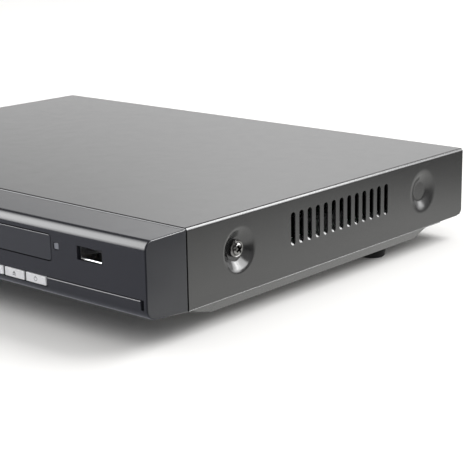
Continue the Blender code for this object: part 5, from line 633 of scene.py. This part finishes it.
def ring_band(radius, half, start, end):
    """A part of a ring of even width about the origin."""
    outer = arc(0.0, 0.0, radius + half, start, end, 20)
    return outer + list(reversed(arc(0.0, 0.0, radius - half, start, end, 20)))


# Outlines of the signs, from the middle of a button
SIGNS = {
    "power": (ring_band(RING_RADIUS, SIGN_LINE, RING_START, RING_END),
              box2(-SIGN_LINE, SIGN_LINE, 0.25, 1.3)),
    "eject": (((-1.1, -0.15), (1.1, -0.15), (0.0, 1.1)), box2(-1.1, 1.1, -0.95, -0.55)),
    "stop": (box2(-0.85, 0.85, -0.85, 0.85),),
    "play": (((-1.6, -0.95), (-0.1, 0.0), (-1.6, 0.95)), box2(0.25, 0.6, -0.9, 0.9),
             box2(1.0, 1.35, -0.9, 0.9)),
}


def make_trim_bar(name, low, high):
    def bar(bm):
        rings = []
        for x in spread(low, high, 40):
            face = bowed(x)
            edge = arc(face, BAR_HIGH - BAR_PROUD, BAR_PROUD, QUARTER, 2.0 * QUARTER, 5)
            rings.append([(x, y, z) for y, z in
                          [(face - BAR_FOOT_PROUD, BAR_LOW), (face + BAR_THICK, BAR_LOW),
                           (face + BAR_THICK, BAR_HIGH)] + edge])
        loft(bm, rings)

    solid(name + "_fine", TRIM_PLASTIC, bar, stands_for=(name,))


def make_trim():
    make_trim_bar("trim_bar_right", FIRST_BUTTON + BAR_BUTTON_GAP, BAR_END)
    make_trim_bar("trim_bar_left", -BAR_END, LAST_BUTTON - BAR_BUTTON_GAP)


def make_button(name, right):
    """A cap with its stem and plunger, and the sign on its face."""
    middle, middle_z = right - BUTTON_WIDTH / 2.0, (BAR_LOW + BAR_HIGH) / 2.0
    face = bowed(middle) - BUTTON_SINK
    slope = 2.0 * BOW * middle / CASE_HALF ** 2

    def along_face(outline, at):
        return [(x, face + at + slope * (x - middle), z) for x, z in outline]

    def cap(bm):
        left_gap, right_gap = CAP_SIDE_GAPS
        outline = rounded(right - BUTTON_WIDTH + left_gap, right - right_gap, BAR_LOW, BAR_HIGH,
                          CAP_CORNER, 3)
        loft(bm, [along_face(inset(outline, draw) if draw else outline, at)
                  for draw, at in CAP_RINGS])

    def stem(bm):
        prism(bm, "Y", box2(middle - STEM_HALF, middle + STEM_HALF, middle_z - STEM_HALF,
                            middle_z + STEM_HALF), face + STEM_SINK, STEM_BACK)

    def plunger(bm):
        prism(bm, "Y", circle(middle, middle_z, STEM_HALF, 24), PLUNGER_FRONT, PLUNGER_BACK)

    def sign(bm):
        for part in SIGNS[name]:
            outline = [(middle + a, middle_z + b) for a, b in part]
            loft(bm, [along_face(outline, at) for at in (SIGN_PROUD, SIGN_BACK)])

    solid("cap_" + name, WHITE_PLASTIC, cap, (("UNION", stem), ("UNION", plunger)),
          body="button_" + name, stands_for=("button_" + name,))
    solid("sign_" + name, SIGN_GREY, sign, body="button_" + name)


# Indicator window and USB socket

# How far the window's outline is drawn in, and how far behind the front's face that is
WINDOW_RINGS = ((0.25, 0.15), (0.06, 0.22), (0.0, 0.4), (0.0, 7.0))

USB_FRONT, USB_BACK = bowed(USB_X) + 0.8, -13.3
USB_WIDE, USB_HIGH = 6.55, 2.7
USB_WALL, USB_SILL, USB_SILL_DEPTH = 0.25, 0.35, 0.32
USB_OUTER_ROUND, USB_INNER_ROUND = 0.6, 0.35
USB_EDGE, USB_EDGE_DEPTH = 0.07, 0.08
USB_FLOOR = 0.6
TONGUE_HALF, TONGUE_THICK, TONGUE_CHAMFER = 5.55, 1.8, 0.2
TONGUE_FRONT = USB_FRONT + 4.4
TONGUE_FOOT, TONGUE_FOOT_FRONT, TONGUE_FOOT_BACK = 2.05, USB_BACK - 2.1, USB_BACK - 0.9
CONTACT_SPAN, CONTACT_HALF = 7.0, 0.5
CONTACT_FRONT, CONTACT_BACK = USB_FRONT + 4.9, USB_BACK - 2.2
CONTACT_LOW, CONTACT_HIGH = -0.06, 0.05


def make_window():
    def window(bm):
        outline = rounded(WINDOW_X - WINDOW_HALF, WINDOW_X + WINDOW_HALF, WINDOW_Z - WINDOW_HALF,
                          WINDOW_Z + WINDOW_HALF, WINDOW_CORNER, 3)
        loft(bm, [[flat("Y", a, b, bowed(WINDOW_X) + at) for a, b in inset(outline, draw)]
                  for draw, at in WINDOW_RINGS])

    solid("window_fine", CLEAR, window, stands_for=("light_pipe",))


def make_usb():
    x, z = USB_X, USB_Z

    def shell(bm):
        outer = rounded(x - USB_WIDE, x + USB_WIDE, z - USB_HIGH, z + USB_HIGH, USB_OUTER_ROUND, 4)
        inner = rounded(x - USB_WIDE + USB_WALL, x + USB_WIDE - USB_WALL, z - USB_HIGH + USB_SILL,
                        z + USB_HIGH - USB_WALL, USB_INNER_ROUND, 4)
        loft(bm, [[flat("Y", a, b, at) for a, b in ring] for ring, at in (
            (outer, USB_BACK), (outer, USB_FRONT + USB_EDGE_DEPTH),
            (inset(outer, USB_EDGE), USB_FRONT), (inner, USB_FRONT + USB_SILL_DEPTH),
            (inner, USB_BACK - USB_FLOOR))])

    def tongue(bm):
        """A board along the socket's middle, with a foot at its rear end."""
        top, tip = z + TONGUE_THICK, TONGUE_FRONT + TONGUE_CHAMFER
        outline = [(TONGUE_FOOT_BACK, z - TONGUE_FOOT), (TONGUE_FOOT_BACK, z + TONGUE_FOOT),
                   (TONGUE_FOOT_FRONT, z + TONGUE_FOOT), (TONGUE_FOOT_FRONT, top), (tip, top),
                   (TONGUE_FRONT, top - TONGUE_CHAMFER), (TONGUE_FRONT, z + TONGUE_CHAMFER),
                   (tip, z), (TONGUE_FOOT_FRONT, z), (TONGUE_FOOT_FRONT, z - TONGUE_FOOT)]
        prism(bm, "X", outline, x - TONGUE_HALF, x + TONGUE_HALF)

    def contacts(bm):
        for middle in spread(x - CONTACT_SPAN / 2.0, x + CONTACT_SPAN / 2.0, 3):
            prism(bm, "Z", box2(middle - CONTACT_HALF, middle + CONTACT_HALF, CONTACT_FRONT,
                                CONTACT_BACK), z + CONTACT_LOW, z + CONTACT_HIGH)

    solid("usb_shell_fine", BRIGHT, shell, stands_for=("usb_shell",))
    solid("usb_tongue_fine", BLACK_PLASTIC, tongue, stands_for=("usb_tongue",))
    solid("usb_contacts", GOLD, contacts)


# Pan corners and feet

CORNER_OUTER, CORNER_TOP = CASE_HALF - 1.1, COVER_EDGE + 0.05
CORNER_DEEP, CORNER_SLOPE, CORNER_BACK, CORNER_THICK = 5.9, 4.1, 3.0, 0.2
# Places behind the seam and the share of the full depth that the floor has there
CORNER_TAPER_SHARES = ((2.2, 0.03), (5.0, 0.24), (8.0, 0.45), (13.5, 0.72), (19.0, 0.97))

# Radius and height
FOOT_PROFILE = ((0.0, 0.0), (5.6, 0.0), (6.3, 0.12), (6.72, 0.5), (6.85, 1.0), (7.42, 4.6),
                (7.5, 5.4), (0.0, 5.4))
FRONT_FEET, REAR_FEET = (112.0, 36.0), (139.6, 151.0)


def make_pan_corners():
    """Tapered ends of the pan's embossed floor, from its full depth to nothing at the front."""
    def corners(bm):
        for side in (-1.0, 1.0):
            loft(bm, [[(side * x, y, z) for x, z in (
                (CORNER_OUTER, CORNER_TOP),
                (CORNER_OUTER - CORNER_SLOPE * share, CORNER_TOP - CORNER_DEEP * share),
                (CORNER_OUTER - (CORNER_SLOPE + CORNER_BACK) * share - CORNER_THICK, CORNER_TOP))]
                for y, share in CORNER_TAPER_SHARES])

    solid("pan_corners", PAINT, corners)


def make_feet():
    for end, (x, y) in (("front", FRONT_FEET), ("rear", REAR_FEET)):
        for side, centre in (("left", (-x, y)), ("right", (x, y))):
            name = "foot_%s_%s" % (end, side)
            solid(name + "_fine", RUBBER,
                  lambda bm, c=centre: turned(bm, "Z", c, FOOT_PROFILE, steps=48),
                  stands_for=(name,))


make_cover()
make_screws()
make_fascia()
make_door()
make_trim()
for name, right in BUTTONS:
    make_button(name, right)
make_window()
make_usb()
make_pan_corners()
make_feet()


# Stage and light; a ramp is low, high, start and end, over a direction's x or z or over metres

FLOOR_HALF = 14.0
FLOOR_WHITE = (0.93, 0.922, 0.908, 1.0)

# What the object mirrors of the room: a wall with a sky above it, and how the sides dim
WALL_TOP = (0.37, 0.46)
WALL_LEVEL, SKY_LEVEL = (0.19, 0.25, 1.38, 1.6), 0.22
RIGHT_SHARE = (-0.2, 0.5, 1.0, 0.28)
LOW_LEFT, HIGH_LEFT = (-0.74, -0.56, 0.87, 0.9), (-0.83, -0.6, 0.3, 1.16)
LEFT_SPLIT = (0.21, 0.25)
# Soft round lights: direction, where they start and are full, and their level
SOFT_LIGHTS = (((-0.742, -0.497, 0.45), 0.68, 1.03, 9.1), ((0.49, 0.83, 0.27), 0.95, 0.995, 4.0))
SOFT_FOOT = (-0.1, 0.5, 0.48, 1.0)
# Light that falls on everything from above and from the right
FILL_ABOVE, FILL_RIGHT = (0.1, 0.75, 0.14, 1.15), (0.3, 0.9, 0.0, 0.6)
# What the object mirrors of the floor, a painted reflection: it fades far off, painted shadow
# darkens it close to the object's right side, front, corner and edges, and it is dimmer and bluer
# in front
RIGHT_FADE, BACK_FADE = (0.185, 0.34, 1.03, 0.3), (0.12, 0.29, 1.0, 0.47)
# Painted shadow in the mirrored floor: darker close to the object's right side and front, and off
# its front-right corner and edges
NEAR_RIGHT, NEAR_FRONT = (0.15, 0.187, 0.8, 1.0), (-0.17, -0.125, 1.0, 0.25)
CORNER_X, CORNER_Y = (0.2, 0.245, 0.0, 0.8), (-0.08, -0.02, 1.0, 0.0)
EDGE_X, EDGE_Y = (0.155, 0.175, 0.0, 0.9), (-0.13, -0.105, 1.0, 0.0)
# Painted tone of the mirrored floor: dimmer and bluer in front of the object, warm white to its
# right
WARM_X, WARM_Y = (0.15, 0.2, 0.0, 1.0), (-0.1, -0.085, 0.0, 1.0)
FRONT_COLOUR, RIGHT_COLOUR = (0.48, 0.485, 0.54, 1.0), (1.0, 1.0, 0.975, 1.0)


def feed(tree, socket, value):
    """Sets a socket to a number or links it to another socket."""
    if isinstance(value, (int, float)):
        socket.default_value = value
    else:
        tree.links.new(value, socket)


def calculate(tree, operation, first, second):
    node = tree.nodes.new("ShaderNodeMath")
    node.operation = operation
    feed(tree, node.inputs[0], first)
    feed(tree, node.inputs[1], second)
    return node.outputs[0]


def ramp(tree, value, low, high, start, end):
    """Goes smoothly from start to end while the value goes from low to high."""
    node = tree.nodes.new("ShaderNodeMapRange")
    node.interpolation_type = "SMOOTHSTEP"
    for name, number in (("Value", value), ("From Min", low), ("From Max", high),
                         ("To Min", start), ("To Max", end)):
        feed(tree, node.inputs[name], number)
    return node.outputs["Result"]


def painted_floor_reflection(tree):
    """A painted reflection of the floor, an emission for mirrored rays only: the floor fades to the
    right, the rear and the front; close to the object its darkening is painted shadow, and in front
    it is dimmer and bluer.
    """
    place = tree.nodes.new("ShaderNodeTexCoord")
    split = tree.nodes.new("ShaderNodeSeparateXYZ")
    tree.links.new(place.outputs["Object"], split.inputs[0])
    x, y = split.outputs["X"], split.outputs["Y"]

    def pair(operation, over_x, over_y):
        return calculate(tree, operation, ramp(tree, x, *over_x), ramp(tree, y, *over_y))

    far = pair("MULTIPLY", RIGHT_FADE, BACK_FADE)
    # Painted shadow: the mirrored floor darkens close to the object's right side and front, and off
    # its front-right corner
    near = pair("MAXIMUM", NEAR_RIGHT, NEAR_FRONT)
    dark = calculate(tree, "MAXIMUM", pair("MULTIPLY", CORNER_X, CORNER_Y),
                     pair("MULTIPLY", EDGE_X, EDGE_Y))
    level = calculate(tree, "MULTIPLY", calculate(tree, "MULTIPLY", far, near),
                      calculate(tree, "SUBTRACT", 1.0, dark))
    # Painted tone: the mirrored floor is dimmer and bluer in front of the object than to its right
    colour = tree.nodes.new("ShaderNodeMix")
    colour.data_type = "RGBA"
    tree.links.new(pair("MAXIMUM", WARM_X, WARM_Y), colour.inputs[0])
    colour.inputs[6].default_value, colour.inputs[7].default_value = FRONT_COLOUR, RIGHT_COLOUR
    mirrored = tree.nodes.new("ShaderNodeEmission")
    tree.links.new(level, mirrored.inputs["Strength"])
    tree.links.new(colour.outputs[2], mirrored.inputs["Color"])
    return mirrored.outputs[0]


def make_stage():
    bm = bmesh.new()
    bm.faces.new([bm.verts.new((a, b, 0.0)) for a, b in
                  box2(-FLOOR_HALF, FLOOR_HALF, -FLOOR_HALF, FLOOR_HALF)])
    mesh = bpy.data.meshes.new("floor")
    bm.to_mesh(mesh)
    bm.free()
    floor = bpy.data.objects.new("floor", mesh)
    bpy.context.scene.collection.objects.link(floor)
    material = bpy.data.materials.new("floor_white")
    material.use_nodes = True
    tree = material.node_tree
    shader = tree.nodes["Principled BSDF"]
    shader.inputs["Base Color"].default_value = FLOOR_WHITE
    shader.inputs["Roughness"].default_value = 0.9
    shader.inputs["Specular IOR Level"].default_value = 0.1
    path = tree.nodes.new("ShaderNodeLightPath")
    mix = tree.nodes.new("ShaderNodeMixShader")
    tree.links.new(path.outputs["Is Glossy Ray"], mix.inputs["Fac"])
    tree.links.new(shader.outputs[0], mix.inputs[1])
    tree.links.new(painted_floor_reflection(tree), mix.inputs[2])
    tree.links.new(mix.outputs[0], tree.nodes["Material Output"].inputs["Surface"])
    mesh.materials.append(material)


def mirrored_room(tree, direction, x, z):
    """What reflections see: the wall and the sky, dimmed at the sides, plus the soft lights."""
    wall = ramp(tree, z, *WALL_TOP, ramp(tree, z, *WALL_LEVEL), SKY_LEVEL)
    left = ramp(tree, z, *LEFT_SPLIT, ramp(tree, x, *LOW_LEFT), ramp(tree, x, *HIGH_LEFT))
    sides = calculate(tree, "MULTIPLY", left, ramp(tree, x, *RIGHT_SHARE))
    room = calculate(tree, "MULTIPLY", wall, sides)
    for middle, low, high, level in SOFT_LIGHTS:
        towards = tree.nodes.new("ShaderNodeVectorMath")
        towards.operation = "DOT_PRODUCT"
        tree.links.new(direction, towards.inputs[0])
        towards.inputs[1].default_value = middle
        soft = ramp(tree, towards.outputs["Value"], low, high, 0.0, level)
        soft = calculate(tree, "MULTIPLY", soft, ramp(tree, z, *SOFT_FOOT))
        room = calculate(tree, "ADD", room, soft)
    return room


def make_world():
    """White backdrop for the camera, the mirrored room for reflections and a fill for the rest."""
    world = bpy.data.worlds.new("studio")
    bpy.context.scene.world = world
    world.use_nodes = True
    tree = world.node_tree
    tree.nodes.clear()
    path = tree.nodes.new("ShaderNodeLightPath")
    place = tree.nodes.new("ShaderNodeTexCoord")
    split = tree.nodes.new("ShaderNodeSeparateXYZ")
    tree.links.new(place.outputs["Generated"], split.inputs[0])
    x, z = split.outputs["X"], split.outputs["Z"]
    camera = path.outputs["Is Camera Ray"]
    reflected = calculate(tree, "MAXIMUM", path.outputs["Is Glossy Ray"],
                          path.outputs["Is Transmission Ray"])
    other = calculate(tree, "SUBTRACT", 1.0, calculate(tree, "MAXIMUM", reflected, camera))
    room = calculate(tree, "MULTIPLY", reflected,
                     mirrored_room(tree, place.outputs["Generated"], x, z))
    fill = calculate(tree, "ADD", ramp(tree, z, *FILL_ABOVE), ramp(tree, x, *FILL_RIGHT))
    strength = calculate(tree, "ADD", calculate(tree, "ADD", room, camera),
                         calculate(tree, "MULTIPLY", other, fill))
    light = tree.nodes.new("ShaderNodeBackground")
    tree.links.new(strength, light.inputs["Strength"])
    output = tree.nodes.new("ShaderNodeOutputWorld")
    tree.links.new(light.outputs[0], output.inputs["Surface"])


def lamp(name, direction, distance, along, size, radiance, mirrored=True):
    """A soft box that faces the object, its first side running along the given direction."""
    light = bpy.data.lights.new(name, "AREA")
    light.shape = "RECTANGLE"
    light.size, light.size_y = size
    light.energy = radiance * math.pi * size[0] * size[1]
    made = bpy.data.objects.new(name, light)
    bpy.context.scene.collection.objects.link(made)
    away = Vector(direction).normalized()
    side = (Vector(along) - away * Vector(along).dot(away)).normalized()
    turn = Matrix((side, away.cross(side), away)).transposed().to_4x4()
    made.matrix_world = Matrix.Translation(away * distance) @ turn
    made.visible_glossy, made.visible_diffuse = mirrored, not mirrored


# Camera, as solved from the photograph: degrees, metres, and its focal length in pixels

CAMERA_YAW, CAMERA_PITCH, CAMERA_ROLL = 42.01856, 14.84325, -1.04397
CAMERA_PLACE = (0.520788, -0.473213, 0.185379)
FOCAL_PIXELS, PHOTO_PIXELS = 1317.277, 464.0


def make_camera():
    yaw, pitch, roll = (math.radians(a) for a in (CAMERA_YAW, CAMERA_PITCH, CAMERA_ROLL))
    ahead = Vector((-math.sin(yaw) * math.cos(pitch), math.cos(yaw) * math.cos(pitch),
                    -math.sin(pitch)))
    right = Vector((math.cos(yaw), math.sin(yaw), 0.0))
    up = right.cross(ahead)
    right_rolled = right * math.cos(roll) + up * math.sin(roll)
    up_rolled = up * math.cos(roll) - right * math.sin(roll)
    data = bpy.data.cameras.new("camera")
    data.sensor_width = 36.0
    data.lens = FOCAL_PIXELS / PHOTO_PIXELS * data.sensor_width
    data.clip_start, data.clip_end = 0.01, 100.0
    camera = bpy.data.objects.new("camera", data)
    bpy.context.scene.collection.objects.link(camera)
    turn = Matrix((right_rolled, up_rolled, -ahead)).transposed().to_4x4()
    camera.matrix_world = Matrix.Translation(CAMERA_PLACE) @ turn
    bpy.context.scene.camera = camera


make_stage()
make_world()
# Direction, distance, direction of the first side, size in metres, radiance
lamp("key", (0.34, 0.54, 0.77), 2.2, (1.0, 0.0, 0.0), (1.8, 1.05), 5.1, mirrored=False)
lamp("back_box", (0.375, 0.65, 0.661), 2.2, (0.87, 0.0, -0.493), (1.36, 0.8), 8.2)
lamp("back_glow", (0.35, 0.75, 0.5), 2.6, (1.0, 0.0, 0.0), (2.6, 1.5), 1.2)
lamp("right_box", (0.78, 0.33, 0.52), 2.2, (0.4, -0.85, -0.2), (1.3, 0.6), 5.5)
make_camera()
bpy.context.scene.view_settings.view_transform = "Standard"
